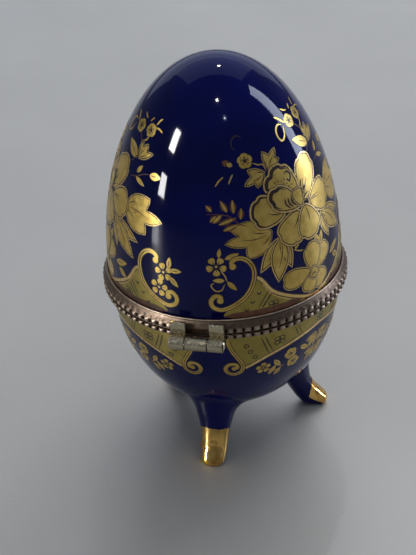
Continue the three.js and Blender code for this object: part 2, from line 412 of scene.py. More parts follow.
def white_glaze():
    """The clear-glazed white inside of the shells, with faint iron specks."""
    finish = Finish("white_glaze", IOR=1.5)
    clay = finish.ramp(finish.noise(11, 3), (0.3, (0.74, 0.72, 0.66)), (0.7, (0.83, 0.82, 0.78)))
    speck = finish.ramp(finish.specks(2.3), (0.02, (0.30, 0.22, 0.14)), (0.05, (1.0, 1.0, 1.0)))
    node = finish.nodes.new("ShaderNodeMix")
    node.data_type = "RGBA"
    node.blend_type = "MULTIPLY"
    node.inputs["Factor"].default_value = 1.0
    finish.links.new(clay, node.inputs[6])
    finish.links.new(speck, node.inputs[7])
    finish.link(node.outputs[2], "Base Color")
    finish.vary("Roughness", 4, 3, (0.3, 0.08), (0.7, 0.16))
    finish.bump((finish.noise(7, 1), 0.03))
    return finish.material


def satin_gold(name, dark, light, roughness, metallic):
    """Transfer-printed gold: satin, slightly uneven, with the fine grain of the print."""
    finish = Finish(name, Metallic=metallic)
    finish.vary("Base Color", 2.4, 4, (0.3, dark), (0.72, light))
    finish.vary("Roughness", 0.8, 3, (0.3, roughness - 0.06), (0.7, roughness + 0.08))
    finish.bump((finish.noise(0.35, 2), 0.006), (finish.noise(3.0, 1), 0.02))
    return finish.material


def printed_line(name, dark, light):
    """Fired brown enamel, a little glossy."""
    finish = Finish(name)
    finish.vary("Base Color", 1.5, 3, (0.3, dark), (0.7, light))
    finish.vary("Roughness", 0.8, 2, (0.3, 0.28), (0.7, 0.42))
    return finish.material


def bright_gilding():
    """Burnished liquid gold on the toes, with brush streaks and rubbed patches."""
    finish = Finish("bright_gilding", Metallic=1.0)
    streak = finish.noise(1.6, 4, stretch=(1.0, 1.0, 0.25))
    finish.link(finish.ramp(streak, (0.3, (0.58, 0.31, 0.07)), (0.6, (0.86, 0.55, 0.17))), "Base Color")
    finish.vary("Roughness", 1.1, 4, (0.35, 0.07), (0.75, 0.22))
    finish.bump((finish.noise(2.2, 2), 0.03), (finish.noise(0.5, 2), 0.004))
    return finish.material


def worn_brass(name, pit, dull, bright, roughness, grain):
    """Aged brass: dark in its hollows, dull on its faces and rubbed bright on what stands proud. grain
    is how rough its surface is to the eye."""
    finish = Finish(name, Metallic=1.0)
    relief = finish.attribute("relief")
    patch = finish.noise(1.3, 4)
    worn = finish.ramp(relief, (0.0, pit), (0.35, dull), (0.95, bright))
    stain = finish.ramp(patch, (0.3, pit), (0.75, dull))
    finish.link(
        finish.mixed(finish.ramp(patch, (0.42, 0.0), (0.72, 0.7 * grain)), worn, stain), "Base Color"
    )
    finish.vary("Roughness", 0.7, 4, (0.3, roughness - 0.08), (0.7, roughness + 0.12))
    finish.bump((finish.noise(0.5, 3), 0.02 * grain), (finish.noise(0.16, 2), 0.008 * grain))
    return finish.material


def lime_cement():
    """Coarse tan cement in the bezel channels."""
    finish = Finish("cement", Metallic=0.0)
    grains = finish.noise(0.9, 6, 0.7)
    finish.link(finish.ramp(grains, (0.3, (0.30, 0.23, 0.15)), (0.7, (0.52, 0.44, 0.32))), "Base Color")
    finish.vary("Roughness", 0.6, 3, (0.3, 0.8), (0.7, 0.95))
    finish.bump((finish.noise(0.5, 5, 0.7), 0.12))
    return finish.material


COBALT = cobalt_glaze()
WHITE = white_glaze()
GOLD = satin_gold("print_gold", (0.50, 0.33, 0.070), (0.70, 0.50, 0.14), 0.33, 0.78)
PALE_GOLD = satin_gold("print_gold_rim", (0.70, 0.46, 0.16), (0.84, 0.62, 0.26), 0.28, 0.8)
OLIVE = satin_gold("print_olive", (0.29, 0.22, 0.045), (0.40, 0.31, 0.07), 0.40, 0.6)
BROWN = printed_line("print_brown", (0.012, 0.004, 0.002), (0.030, 0.011, 0.004))
RUSSET = printed_line("print_russet", (0.09, 0.026, 0.007), (0.17, 0.058, 0.014))
PRINT = [GOLD, PALE_GOLD, OLIVE, BROWN, RUSSET]
GILT = bright_gilding()
BEZEL_BRASS = worn_brass(
    "bezel_brass", (0.012, 0.006, 0.004), (0.14, 0.10, 0.072), (0.44, 0.35, 0.27), 0.40, 0.6
)
HINGE_BRASS = worn_brass(
    "hinge_brass", (0.08, 0.062, 0.042), (0.30, 0.265, 0.20), (0.56, 0.50, 0.35), 0.22, 0.2
)
CEMENT = lime_cement()


# ---- Porcelain ----


def shell_profile(rim_z, pole_z, steps):
    """The outer profile from the rim to the pole, then the inner one back, as [r, z]."""
    share = np.sin(np.linspace(0, math.pi / 2, steps))
    heights = rim_z + (pole_z - rim_z) * share
    outer = [[float(egg_radius(z)), z] for z in heights[:-1]]
    inner = [beside_egg(z, -WALL) for z in heights[:-1]]
    inner[0][1] = rim_z
    inward = -WALL if pole_z > rim_z else WALL
    return [[0, pole_z + inward], *reversed(inner), *outer, [0, pole_z]]


def add_shell(name, body, side, node):
    """side is +1 for the lid and -1 for the bowl. The faces outside are cobalt and the rest white."""
    steps = 72
    profile = shell_profile(SEAM_Z + side * RIM, TOP_Z if side > 0 else BOTTOM_Z, steps)
    points, faces = turned(profile, TURNS)
    if side > 0:
        faces = [tuple(reversed(f)) for f in faces]
    # Rings run from the inner pole to the rim, then up the outside, and the pole fans come last.
    ring_slots = [1] * (steps - 1) + [0] * (steps - 2)
    slots = [slot for slot in ring_slots for _ in range(TURNS)]
    slots += [1, 0] * TURNS
    shell = add_piece(name, body, points, faces, [COBALT, WHITE], slots, sharp=50)
    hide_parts(node)


add_shell("lid_porcelain", "lid", 1, "lid_shell")
add_shell("bowl_porcelain", "base", -1, "base_bowl")


# ---- Legs ----

# From the bowl to the toe: [distance from the axis, height, half width, thickness above, thickness below]
LEG_STATIONS = [
    [15.6, 14.5, 5.4, 5.2, 5.2],
    [17.0, 10.2, 4.15, 3.8, 3.8],
    [18.1, 7.2, 3.5, 3.1, 3.2],
    [19.8, 4.3, 3.25, 2.8, 3.3],
    [21.5, 2.75, 3.15, 2.4, 3.5],
    [23.2, 1.35, 2.9, 1.9, 2.4],
]
TOE_TIP = [24.5, -0.1]
LEG_SIDES = 56
FILLET_HEIGHT = 3.9  # where a leg's surface starts to turn into the bowl's
FILLET_SPREAD = 5.0  # how far it spreads over the bowl
FILLET_STEPS = 20
LEG_STEPS = 56


def leg_tube(reach, grow=0.0):
    """Rings of a leg along +X, from inside the bowl to the toe, as (rings, sides, 3) points."""
    stations = np.array(LEG_STATIONS)
    stem = smooth_curve(stations, 24)
    share = np.sin(np.linspace(0, math.pi / 2, 40))[1:]
    start, end = stations[-1], np.array(TOE_TIP)
    round_off = np.sqrt(np.maximum(1 - share**2, 0.0))[:, None]
    toe = np.concatenate([start[:2] + (end - start[:2]) * share[:, None], start[2:] * round_off], 1)
    rings = np.concatenate([stem, toe])
    rings[:, 0] = LEG_STATIONS[0][0] + (rings[:, 0] - LEG_STATIONS[0][0]) * reach
    ahead = np.gradient(rings[:, :2], axis=0)
    ahead /= np.linalg.norm(ahead, axis=1, keepdims=True)
    angle = np.linspace(0, math.tau, LEG_SIDES, endpoint=False)
    squared = 0.94  # below 1 makes the section a little boxy, as a pressed leg is
    across = np.sign(np.cos(angle)) * np.abs(np.cos(angle)) ** squared
    upward = np.sign(np.sin(angle)) * np.abs(np.sin(angle)) ** squared
    half_width = rings[:, 2:3] + grow
    thickness = np.where(upward > 0, rings[:, 3:4], rings[:, 4:5]) + grow
    x = rings[:, 0:1] - ahead[:, 1:2] * thickness * upward
    z = rings[:, 1:2] + ahead[:, 0:1] * thickness * upward
    return np.stack([x, half_width * across, z], -1)


def nearest_on_egg(points):
    """Arc length of the nearest point of the egg, and the distance outside it."""
    flat = points.reshape(-1, 3)
    r, z = np.hypot(flat[:, 0], flat[:, 1]), flat[:, 2]
    step = slice(None, None, 6)
    far = np.hypot(r[:, None] - EGG_R[None, step], z[:, None] - EGG_Z[None, step])
    near = far.argmin(1)
    s = EGG_S[step][near]
    outside = (r - EGG_R[step][near]) * EGG_NR[step][near] + (z - EGG_Z[step][near]) * EGG_NZ[step][near]
    return s.reshape(points.shape[:-1]), outside.reshape(points.shape[:-1])


def leg_column(column, outside, middle):
    """One line down a leg, from its toe up to the bowl, where it turns outwards and runs into the
    glaze."""
    first = int(np.argmax(outside > FILLET_HEIGHT))
    share = (FILLET_HEIGHT - outside[first - 1]) / (outside[first] - outside[first - 1])
    leave = column[first - 1] + (column[first] - column[first - 1]) * share
    s_near, _ = nearest_on_egg(leave[None])
    turn = math.degrees(math.atan2(-leave[0], leave[1]))
    radius = float(radius_at_arc(s_near[0]))
    away = np.array([math.radians(turn - middle[0]) * radius, s_near[0] - middle[1]])
    away = away / np.linalg.norm(away) * FILLET_SPREAD
    spread_s = s_near[0] + away[1]
    turn_away = math.degrees(away[0] / radius)
    meet = on_egg(turn + turn_away, spread_s, -0.04)
    before = on_egg(turn + turn_away - 0.1 * turn_away, spread_s - 0.1 * away[1], -0.02)
    into_bowl = leave - column[min(first + 2, len(column) - 1)]
    into_bowl = into_bowl / np.linalg.norm(into_bowl)
    along_bowl = (meet - before) / np.linalg.norm(meet - before)
    handles = [
        leave, leave + into_bowl * FILLET_HEIGHT * 0.66, meet - along_bowl * FILLET_SPREAD * 0.66, meet
    ]
    t = np.linspace(0, 1, FILLET_STEPS + 1)[1:, None]
    weights = [(1 - t) ** 3, 3 * t * (1 - t) ** 2, 3 * t**2 * (1 - t), t**3]
    bend = sum(weight * handle for weight, handle in zip(weights, handles))
    outer = np.concatenate([[leave], column[first:]])
    lower = respaced(outer, LEG_STEPS, from_end=True)
    return np.concatenate([lower, bend])


def spun(points, azimuth):
    """Points turned about Z from +X to an azimuth."""
    a = math.radians(azimuth)
    spin = np.array([[math.cos(a), math.sin(a), 0], [-math.sin(a), math.cos(a), 0], [0, 0, 1]])
    return points @ spin


def leg_rows(azimuth, reach, grow=0.0):
    """The leg's surface as rows of points from the toe up to the bowl, in place."""
    tube = spun(leg_tube(reach, grow), azimuth)
    arcs, outside = nearest_on_egg(tube)
    middle_line = tube.mean(1)
    _, middle_out = nearest_on_egg(middle_line[:, None])
    crossing = middle_line[int(np.argmax(middle_out[:, 0] > 0))]
    s_middle, _ = nearest_on_egg(crossing[None])
    middle = (math.degrees(math.atan2(-crossing[0], crossing[1])), s_middle[0])
    columns = [leg_column(tube[:, k], outside[:, k], middle) for k in range(LEG_SIDES)]
    rows = np.stack(columns, 1)
    rows[..., 2] = np.maximum(rows[..., 2], 0.0)
    return rows


def add_leg(node, azimuth, reach, gilt_z, gilt_drop):
    """A glazed leg, closed inside the bowl's wall and at its toe, with the gilding on it."""
    rows = leg_rows(azimuth, reach)
    count = rows.shape[0]
    toe = rows[0].mean(0)
    root_ring = rows[-1]
    root = root_ring.mean(0)
    inner = root + (root_ring - root) * 0.6
    inner_s, _ = nearest_on_egg(inner)
    inner = on_egg(np.degrees(np.arctan2(-inner[:, 0], inner[:, 1])), inner_s, -0.6)
    points = np.concatenate([rows.reshape(-1, 3), inner, [toe], [inner.mean(0)]])
    faces = grid_faces(count + 1, LEG_SIDES, closed=True)
    faces += tip_faces(LEG_SIDES, count * LEG_SIDES, len(points) - 2, len(points) - 1)
    leg = add_piece(f"{node}_porcelain", "base", points, faces, [COBALT], sharp=60)
    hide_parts(node)
    add_gilding(node, azimuth, reach, gilt_z, gilt_drop)


def add_gilding(node, azimuth, reach, gilt_z, gilt_drop):
    """Gold brushed over the top and the sides of a toe, as a thin closed skin with an uneven upper
    edge, which starts at gilt_z on top and drops towards the sides."""
    layers = []
    for grow in (0.045, -0.08):
        rows = leg_rows(azimuth, reach, grow)
        chosen = range(-1, LEG_SIDES // 2 + 2)
        columns = []
        for k in chosen:
            column = rows[:, k % LEG_SIDES]
            side = abs(k - LEG_SIDES / 4) / (LEG_SIDES / 4)
            ragged = 0.14 * math.sin(5.1 * k + azimuth) * math.sin(1.7 * k) + 0.08 * math.sin(2.3 * k)
            top_z = gilt_z - gilt_drop * side**2 + ragged
            height = np.maximum.accumulate(column[:LEG_STEPS, 2])
            edge = int(np.argmax(height > top_z))
            columns.append(respaced(column[: edge + 1], 34))
        layers.append(np.stack(columns, 1))
    skin = layers[0].reshape(-1, 3)
    skin[:, 2] = np.maximum(skin[:, 2], 0.01)
    faces = grid_faces(layers[0].shape[0], layers[0].shape[1], closed=False)
    points = np.concatenate([skin, layers[1].reshape(-1, 3)])
    add_piece(f"{node}_gilding", "base", points, thick(skin, faces), [GILT], sharp=60)


# Node, azimuth, reach, height of the gilding on top and how far it drops at the sides
LEGS = [
    ("foot_rear", 88, 0.78, 9.9, 1.6),
    ("foot_front_left", 201, 1.02, 7.5, 3.4),
    ("foot_front_right", 325, 0.9, 8.2, 2.4),
]
for leg in LEGS:
    add_leg(*leg)


# ---- Bezels ----


CHANNEL_OUTER = 25.25
CHANNEL_INNER = 24.7
CHANNEL_HEIGHT = 2.6
CHANNEL_EDGE = 0.08  # how far the channel's inner edges are rounded


def bead_wave(turn):
    """1 on a bead and 0 in the pit between two beads, squarish."""
    wave = np.abs(np.cos(turn * BEADS / 2))
    return 1 - (1 - wave) ** 1.3


def bezel_profile(side, top, bead_low, bead_high):
    """A bezel's section from the inside of its channel, out along the seam, up its beaded band, which
    draws in towards the porcelain, over the rolled rim and back."""

    def z(height):
        return SEAM_Z + side * height

    rolled_in = beside_egg(z(top), 0.1)[0]
    rim_r = rolled_in + 0.3
    band = [[BAND_RADIUS - 0.4, z(0.12)], [BAND_RADIUS - 0.28, z(0.2)]]
    band += [[BAND_RADIUS - 0.3, z(h)] for h in np.linspace(bead_low, bead_high, 11)]
    shoulder = np.linspace(0, 1, 7)[1:]
    for share in shoulder:
        r = BAND_RADIUS - 0.42 + (rim_r + 0.42 - BAND_RADIUS) * share**1.4
        band.append([r, z(bead_high + 0.06 + (top - bead_high - 0.56) * share)])
    for angle in np.radians(np.linspace(-50, 150, 9)):
        band.append([rim_r + 0.02 + 0.25 * math.cos(angle), z(top - 0.25 + 0.25 * math.sin(angle))])
    back = [
        [rolled_in, z(top - 0.2)],
        [rolled_in, z(top - 0.45)],
        [rolled_in + 0.06, z(top - 0.6)],
        [BAND_RADIUS - 0.95, z(min(1.5, top - 0.7))],
        [BAND_RADIUS - 0.95, z(0.67)],
        [CHANNEL_OUTER, z(0.67)],
        [CHANNEL_OUTER, z(CHANNEL_HEIGHT - CHANNEL_EDGE)],
        [CHANNEL_OUTER - CHANNEL_EDGE, z(CHANNEL_HEIGHT)],
        [CHANNEL_INNER + CHANNEL_EDGE, z(CHANNEL_HEIGHT)],
        [CHANNEL_INNER, z(CHANNEL_HEIGHT - CHANNEL_EDGE)],
        [CHANNEL_INNER, z(0.2)],
        [CHANNEL_INNER + CHANNEL_EDGE, z(0.12)],
    ]
    return [*band, *back]


def add_bezel(name, body, side, top, bead_low, bead_high, node):
    """A bezel with its bead row. side is +1 for the lid's and -1 for the base's, and heights are from the
    seam."""
    profile = np.array(bezel_profile(side, top, bead_low, bead_high))
    row_middle = SEAM_Z + side * (bead_low + bead_high) / 2
    row_half = (bead_high - bead_low) / 2
    plain_z = SEAM_Z + side * (bead_high + 0.5)

    def beaded(r, z, turn):
        from_hinge = np.abs((turn + math.pi / 2) % math.tau - math.pi)
        on_band = (r > BAND_RADIUS - 0.7) & (from_hinge > HINGE_HALF / BAND_RADIUS)
        row = np.clip(1 - ((z - row_middle) / row_half) ** 2, 0, 1) ** 0.5
        bead = 0.3 * row * bead_wave(turn) - 0.34 * row * (1 - bead_wave(turn))
        tick = np.exp(-(((z - plain_z) / 0.3) ** 2)) * 0.05 * np.sign(np.cos(turn * BEADS))
        return r + on_band * (bead + (tick if side > 0 else 0))

    points, faces = turned(profile, BEADS * 12, beaded)
    if side < 0:
        faces = [tuple(reversed(f)) for f in faces]
    bezel = add_piece(name, body, points, faces, [BEZEL_BRASS], sharp=50)
    radii = np.hypot(points[:, 0], points[:, 1])
    proud = np.clip((radii - (BAND_RADIUS - 0.4)) / 0.42, 0, 1)
    near_rim = np.clip(
        1 - np.abs(side * (points[:, 2] - SEAM_Z) - (top - 0.12)) / 0.3, 0, 1
    ) * (radii > 27)
    plain = 0.3 * (side * (points[:, 2] - SEAM_Z) > bead_high)
    seam_face = (np.abs(points[:, 2] - SEAM_Z) < 0.3) & (radii < BAND_RADIUS - 0.9)
    rubbed_inside = 0.7 * (seam_face | (radii < 27))
    add_relief(bezel, np.maximum.reduce([proud, 0.85 * near_rim, plain, rubbed_inside]))
    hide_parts(node)


def add_relief(piece, values):
    """How proud each point stands, which the brass reads for its wear."""
    relief = piece.data.attributes.new("relief", "FLOAT", "POINT")
    relief.data.foreach_set("value", np.asarray(values, np.float32))


def add_lip():
    """The ring folded up from the base's channel, which centres the lid."""
    section = [
        [23.98, 42.4],
        [24.95, 42.4],
        [24.95, 42.95],
        [24.45, 42.95],
        [24.4, 43.05],
        [24.4, 46.15],
        [24.3, 46.3],
        [24.0, 46.3],
        [23.9, 46.15],
        [23.9, 42.5],
    ]
    points, faces = turned(section, 256)
    lip = add_piece("base_bezel_lip", "base", points, faces, [BEZEL_BRASS], sharp=40)
    add_relief(lip, np.full(len(points), 0.45))


add_bezel("lid_bezel_band", "lid", 1, 3.5, 0.3, 1.45, "lid_bezel")
add_bezel("base_bezel_band", "base", -1, 1.8, 0.3, 1.25, "base_bezel")
add_lip()


# ---- Hinge and clasp ----

BARREL = 1.7
BORE = 0.8
KNUCKLE_HALF = 2.5  # half the length of the base's knuckle
SLIT = 0.28  # between neighbouring knuckles
BAND_FACE = BAND_RADIUS + GAP
STUD_Z = 44.0


def arc(centre, radius, from_deg, to_deg, steps):
    """Points on an arc, in degrees from +Y towards +Z."""
    angle = np.radians(np.linspace(from_deg, to_deg, steps + 1))
    return np.stack([centre[0] + radius * np.cos(angle), centre[1] + radius * np.sin(angle)], -1)


def knuckle(outline, from_x, to_x):
    """A [y, z] outline with the pin's bore through it, extruded along X, as points and faces."""
    axis = (HINGE_Y, HINGE_Z)
    bore = arc(axis, BORE, 0, 360, 40)[:-1]
    flat, cap = triangulated([outline, bore], hole=(axis, BORE * 0.98), tolerance=1e-6)
    ends = [np.stack([np.full(len(flat), x), flat[:, 0], flat[:, 1]], -1) for x in (to_x, from_x)]
    return np.concatenate(ends), thick(ends[0], cap)


def wear_edges(piece, width, segments):
    """Rounds the sharp edges of a fitting, in millimetres."""
    bevel = piece.modifiers.new("worn_edges", "BEVEL")
    bevel.width = width * MM
    bevel.segments = segments
    bevel.limit_method = "ANGLE"
    bevel.angle_limit = math.radians(50)


def add_knuckle(name, body, outline, from_x, to_x, node):
    """A hinge knuckle with its strap, rubbed bright at both ends."""
    points, faces = knuckle(outline, from_x, to_x)
    piece = add_piece(name, body, points, faces, [HINGE_BRASS], sharp=30)
    edge = np.minimum(np.abs(points[:, 0] - from_x), np.abs(points[:, 0] - to_x))
    add_relief(piece, np.where(edge < 0.2, 0.85, 0.5))
    wear_edges(piece, 0.16, 3)
    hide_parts(node)


def add_hinge():
    """Two knuckles on the lid, one on the base between them, and the pin."""
    axis = (HINGE_Y, HINGE_Z)
    strap = 0.75
    join = math.degrees(math.acos((BAND_FACE + strap - HINGE_Y) / BARREL))
    lid_outline = [
        *arc(axis, BARREL, 170 - 360, join, 44),
        [BAND_FACE + strap, SEAM_Z + 3.3],
        [BAND_FACE + strap - 0.3, SEAM_Z + 3.55],
        [BAND_FACE, SEAM_Z + 3.55],
    ]
    base_outline = [
        *arc(axis, BARREL, -154, 154, 44), [BAND_FACE, HINGE_Z + 0.75], [BAND_FACE, HINGE_Z - 0.75]
    ]
    near = KNUCKLE_HALF + SLIT
    add_knuckle("lid_knuckle_left", "lid", lid_outline, -HINGE_HALF, -near, "lid_hinge_knuckle_left")
    add_knuckle("lid_knuckle_right", "lid", lid_outline, near, HINGE_HALF, "lid_hinge_knuckle_right")
    add_knuckle("base_knuckle", "base", base_outline, -KNUCKLE_HALF, KNUCKLE_HALF, "base_hinge_knuckle")
    add_pin()


def add_pin():
    """The hinge pin, with both ends peened into low domes."""
    shoulder = HINGE_HALF + 0.1
    head = [[0.7, shoulder], [1.02, shoulder], [1.1, shoulder + 0.09], [0.98, shoulder + 0.22]]
    head += [[0.6, shoulder + 0.33], [0, shoulder + 0.38]]
    half = [[r, -x] for r, x in reversed(head)]
    points, faces = turned([*half, [0.7, 0.0], *head], 40)
    placed = np.stack([points[:, 2], points[:, 0] + HINGE_Y, points[:, 1] + HINGE_Z], -1)
    pin = add_piece("pin", "base", placed, faces, [HINGE_BRASS], sharp=40)
    add_relief(pin, np.full(len(points), 0.7))
    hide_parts("hinge_pin")


def tongue_place(flat, depth):
    """The clasp tongue's plate bent along its path: flat is [x, distance down the path], depth is out
    from it."""
    bends = [[BAND_FACE, 48.2], [BAND_FACE, 46.9], [30.5, 46.4], [31.3, 45.7], [31.4, 45.1], [31.4, 42.6]]
    bends += [[31.75, 41.9], [32.6, 41.62], [33.2, 41.6]]
    path = smooth_curve(bends, 8)
    down = lengths_along(path)
    outward = side_normals(path)
    y, z, ny, nz = (
        np.interp(flat[:, 1], down, v) for v in (path[:, 0], path[:, 1], outward[:, 0], outward[:, 1])
    )
    return np.stack([flat[:, 0], -(y + ny * depth), z + nz * depth], -1), down[-1]


def add_tongue():
    """The lid's clasp tongue: a plate with a rounded thumb lip and a round window."""
    _, length = tongue_place(np.zeros((1, 2)), 0)
    half = 3.1
    corner = 1.1
    lower = [*arc((half - corner, length - corner), corner, 0, 90, 8)]
    lower += [*arc((corner - half, length - corner), corner, 90, 180, 8)]
    upper = [*arc((0.5 - half, 0.5), 0.5, 180, 270, 4), *arc((half - 0.5, 0.5), 0.5, 270, 360, 4)]
    outline = np.array([*lower, *upper])
    window_centre = (0, 4.5)
    window = arc(window_centre, 1.15, 0, 360, 36)[:-1]
    dense = []
    for a, b in zip(outline, np.roll(outline, -1, 0)):
        parts = max(1, int(np.linalg.norm(b - a) / 0.4))
        dense += [a + (b - a) * i / parts for i in range(parts)]
    outline = np.array(dense)
    xs, ys = np.meshgrid(np.arange(-half, half, 0.45), np.arange(0.2, length, 0.4))
    grid = np.stack([xs, ys], -1).reshape(-1, 2)
    grid = grid[contains(outline, grid) & (np.linalg.norm(grid - window_centre, axis=1) > 1.35)]
    grid = grid[np.linalg.norm(grid[:, None] - outline[None], axis=2).min(1) > 0.2]
    flat, faces = triangulated([outline, window], grid, hole=(window_centre, 1.13))
    outer, _ = tongue_place(flat, 0.6)
    inner, _ = tongue_place(flat, 0.0)
    tongue = add_piece(
        "clasp_plate", "lid", np.concatenate([outer, inner]), thick(flat, faces), [HINGE_BRASS], sharp=40
    )
    add_relief(tongue, np.full(2 * len(flat), 0.55))
    wear_edges(tongue, 0.12, 2)
    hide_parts("clasp_tongue")


def add_stud():
    """The base's domed stud, at the middle of the front."""
    profile = [
        [0, 30.3],
        [0.56, 30.3],
        [0.56, 30.5],
        [0.7, 30.75],
        [0.7, 30.95],
        [0.6, 31.12],
        [0.36, 31.22],
        [0, 31.25],
    ]
    points, faces = turned(profile, 32)
    placed = np.stack([points[:, 0], -points[:, 2], points[:, 1] + STUD_Z], -1)
    stud = add_piece("clasp_stud_dome", "base", placed, faces, [HINGE_BRASS], sharp=40)
    add_relief(stud, np.full(len(points), 0.75))
    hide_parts("clasp_stud")


add_hinge()
add_tongue()
add_stud()
for node in ("lid_cement", "base_cement"):
    for material_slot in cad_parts[node].material_slots:
        material_slot.material = CEMENT


# ---- Printed decoration ----

GOLD_SLOT, PALE_SLOT, OLIVE_SLOT, BROWN_SLOT, RUSSET_SLOT = range(5)
LAYER = 0.01  # how far each layer of print stands above the one before
FIRST_LAYER = 0.02
PRINT_DEPTH = 0.05  # how far a patch reaches into the glaze


def flattened(keys, anchor, flip=1):
    """(degrees, arc) points in millimetres round an anchor, mirrored across the centre line where flip
    is -1."""
    keys = np.asarray(keys, float)
    across = np.radians(flip * keys[:, 0] - anchor[0]) * radius_at_arc(keys[:, 1])
    return np.stack([across, keys[:, 1] - anchor[1]], -1)


class Design:
    """A flat design in degrees from its centre line and millimetres of arc, made of closed raised
    patches."""

    def __init__(self):
        self.points, self.faces, self.slots, self.tops = [], [], [], []
        self.count = 0

    def add(self, flat, faces, anchor, slot, layer):
        """A patch drawn in millimetres round its anchor (degrees, arc)."""
        arcs = anchor[1] + flat[:, 1]
        degrees = anchor[0] + np.degrees(flat[:, 0] / radius_at_arc(arcs))
        top = FIRST_LAYER + LAYER * layer
        for height in (top, -PRINT_DEPTH):
            self.points.append(np.stack([degrees, arcs, np.full(len(flat), height)], -1))
        shell = thick(flat, faces)
        self.faces += [tuple(self.count + i for i in face) for face in shell]
        self.slots += [slot] * len(shell)
        self.tops += [True] * len(faces) + [False] * (len(shell) - len(faces))
        self.count += 2 * len(flat)

    def patch(self, outline, anchor, slot, layer, spacing=1.1):
        flat, faces = filled(outline, spacing)
        if faces:
            self.add(flat, faces, anchor, slot, layer)

    def ribbon(self, path, width, anchor, slot, layer, taper=0.25, closed=False):
        """A line of a width, in millimetres round its anchor, narrowing over a share of each end."""
        count = len(path)
        share = np.linspace(0, 1, count)
        end = np.minimum(share, 1 - share) / max(taper, 1e-6)
        half = width / 2 * (
            np.ones(count) if closed else 0.12 + 0.88 * np.sin(np.clip(end, 0, 1) * math.pi / 2)
        )
        side = side_normals(path, closed) * half[:, None]
        flat = np.concatenate([path + side, path - side])
        faces = []
        for i in range(count if closed else count - 1):
            j = (i + 1) % count
            faces.append((i, count + i, count + j, j))
        self.add(flat, faces, anchor, slot, layer)

    def line(self, keys, width, slot, layer, taper=0.25, steps=6, both=False):
        """A smooth line through (degrees, arc) points. both draws its mirror image across the centre
        line too."""
        for flip in (1, -1) if both else (1,):
            anchor = (flip * keys[0][0], keys[0][1])
            path = smooth_curve(flattened(keys, anchor, flip), steps)
            self.ribbon(path, width, anchor, slot, layer, taper)

    def edged_line(self, keys, wide, narrow, slot, layer, taper, both=False):
        """A smooth line over a wider brown one."""
        self.line(keys, wide, BROWN_SLOT, layer, taper, both=both)
        self.line(keys, narrow, slot, layer + 1, taper, both=both)

    def panel(self, keys, centre):
        """An olive panel inside a smooth outline of (degrees, arc) points, and its mirror image."""
        for flip in (1, -1):
            anchor = (flip * centre[0], centre[1])
            outline = smooth_curve(flattened(keys, anchor, flip), 4, closed=True)
            self.patch(anticlockwise(outline), anchor, OLIVE_SLOT, 0)

    def outlined(self, outline, anchor, layer, rim=0.42, line=0.26):
        """A patch with a thin dark contour, a pale gold rim, a dark line inside the rim and a gold
        middle."""
        self.ribbon(outline, 0.28, anchor, BROWN_SLOT, layer, closed=True)
        self.ribbon(inset(outline, rim / 2), rim, anchor, PALE_SLOT, layer + 1.2, closed=True)
        inner = inset(outline, rim)
        self.patch(inner, anchor, GOLD_SLOT, layer + 1)
        self.ribbon(inner, line, anchor, BROWN_SLOT, layer + 1.5, closed=True)

    def piece(self, name, body, centres):
        """The design wrapped on the egg at each centre, in degrees from the hinge. The top of each
        patch is shaded as the glaze under it is, so that its triangles don't show."""
        flat = np.concatenate(self.points)
        points = np.concatenate(
            [on_egg(centre + flat[:, 0], flat[:, 1], flat[:, 2]) for centre in centres]
        )
        faces = [
            tuple(i + n * len(flat) for i in face) for n in range(len(centres)) for face in self.faces
        ]
        # Azimuth grows clockwise from above, so a patch that is anticlockwise when flat faces out.
        made = add_piece(name, body, points, faces, PRINT, self.slots * len(centres), sharp=35)
        outward = np.concatenate([egg_normals(centre + flat[:, 0], flat[:, 1]) for centre in centres])
        on_top = np.repeat(self.tops * len(centres), [len(face) for face in faces])
        normals = np.where(on_top[:, None], outward[np.concatenate(faces)], 0.0)
        made.data.normals_split_custom_set(normals.tolist())


def petal_outline(length, width, lobes, depth=0.13):
    """A petal from its base at the origin along +X, broad near its scalloped tip."""
    t = np.linspace(0, math.tau, 24 * lobes if lobes > 1 else 40, endpoint=False)
    along = (1 - np.cos(t)) / 2
    half = width / 2 * np.sin(t) * (0.5 + 0.5 * along) / 0.8
    outline = np.stack([length * along, -half], -1)
    reach = 2.0
    off_tip = t - math.pi
    window = np.sqrt(np.clip(1 - (off_tip / reach) ** 2, 0, 1))
    phase = (off_tip + reach) / (2 * reach) * lobes * math.pi
    notch = (1 - np.abs(np.sin(phase))) ** 2 * window
    centre = np.array([0.55 * length, 0.0])
    return centre + (outline - centre) * (1 - depth * notch)[:, None]


def leaf_outline(length, width, points=26):
    """A pointed leaf from its base at the origin along +X."""
    u = np.linspace(0, 1, points // 2)
    half = width / 2 * np.sin(math.pi * u**0.85) ** 0.9
    under = np.stack([u * length, -half], -1)
    over = np.stack([u * length, half], -1)[::-1]
    return np.concatenate([under, over[1:-1]])


def add_petal(design, base, towards, length, width, lobes, layer, veins=1, rim=0.42, fold=0.0):
    """A petal from its base in a direction. fold is the width of the dark shadow where its tip curls
    over."""
    outline = petal_outline(length, width, lobes)
    if fold:
        tip = inset(outline, rim + fold / 2)[int(0.27 * len(outline)) : int(0.75 * len(outline))]
        design.ribbon(turned_by(tip, towards), fold, base, BROWN_SLOT, layer + 1.6, taper=0.5)
    outline = turned_by(outline, towards)
    design.outlined(outline, base, layer, rim)
    for i in range(veins):
        lean = (i - (veins - 1) / 2) * 15
        u = np.linspace(0.1, 0.52 - 0.08 * abs(i - (veins - 1) / 2), 7)
        path = np.stack(
            [u * length, np.tan(math.radians(lean)) * (u * length) * 0.8 + 0.5 * np.sin(u * 5)], -1
        )
        design.ribbon(turned_by(path, towards), 0.3, base, BROWN_SLOT, layer + 1.8, taper=0.6)


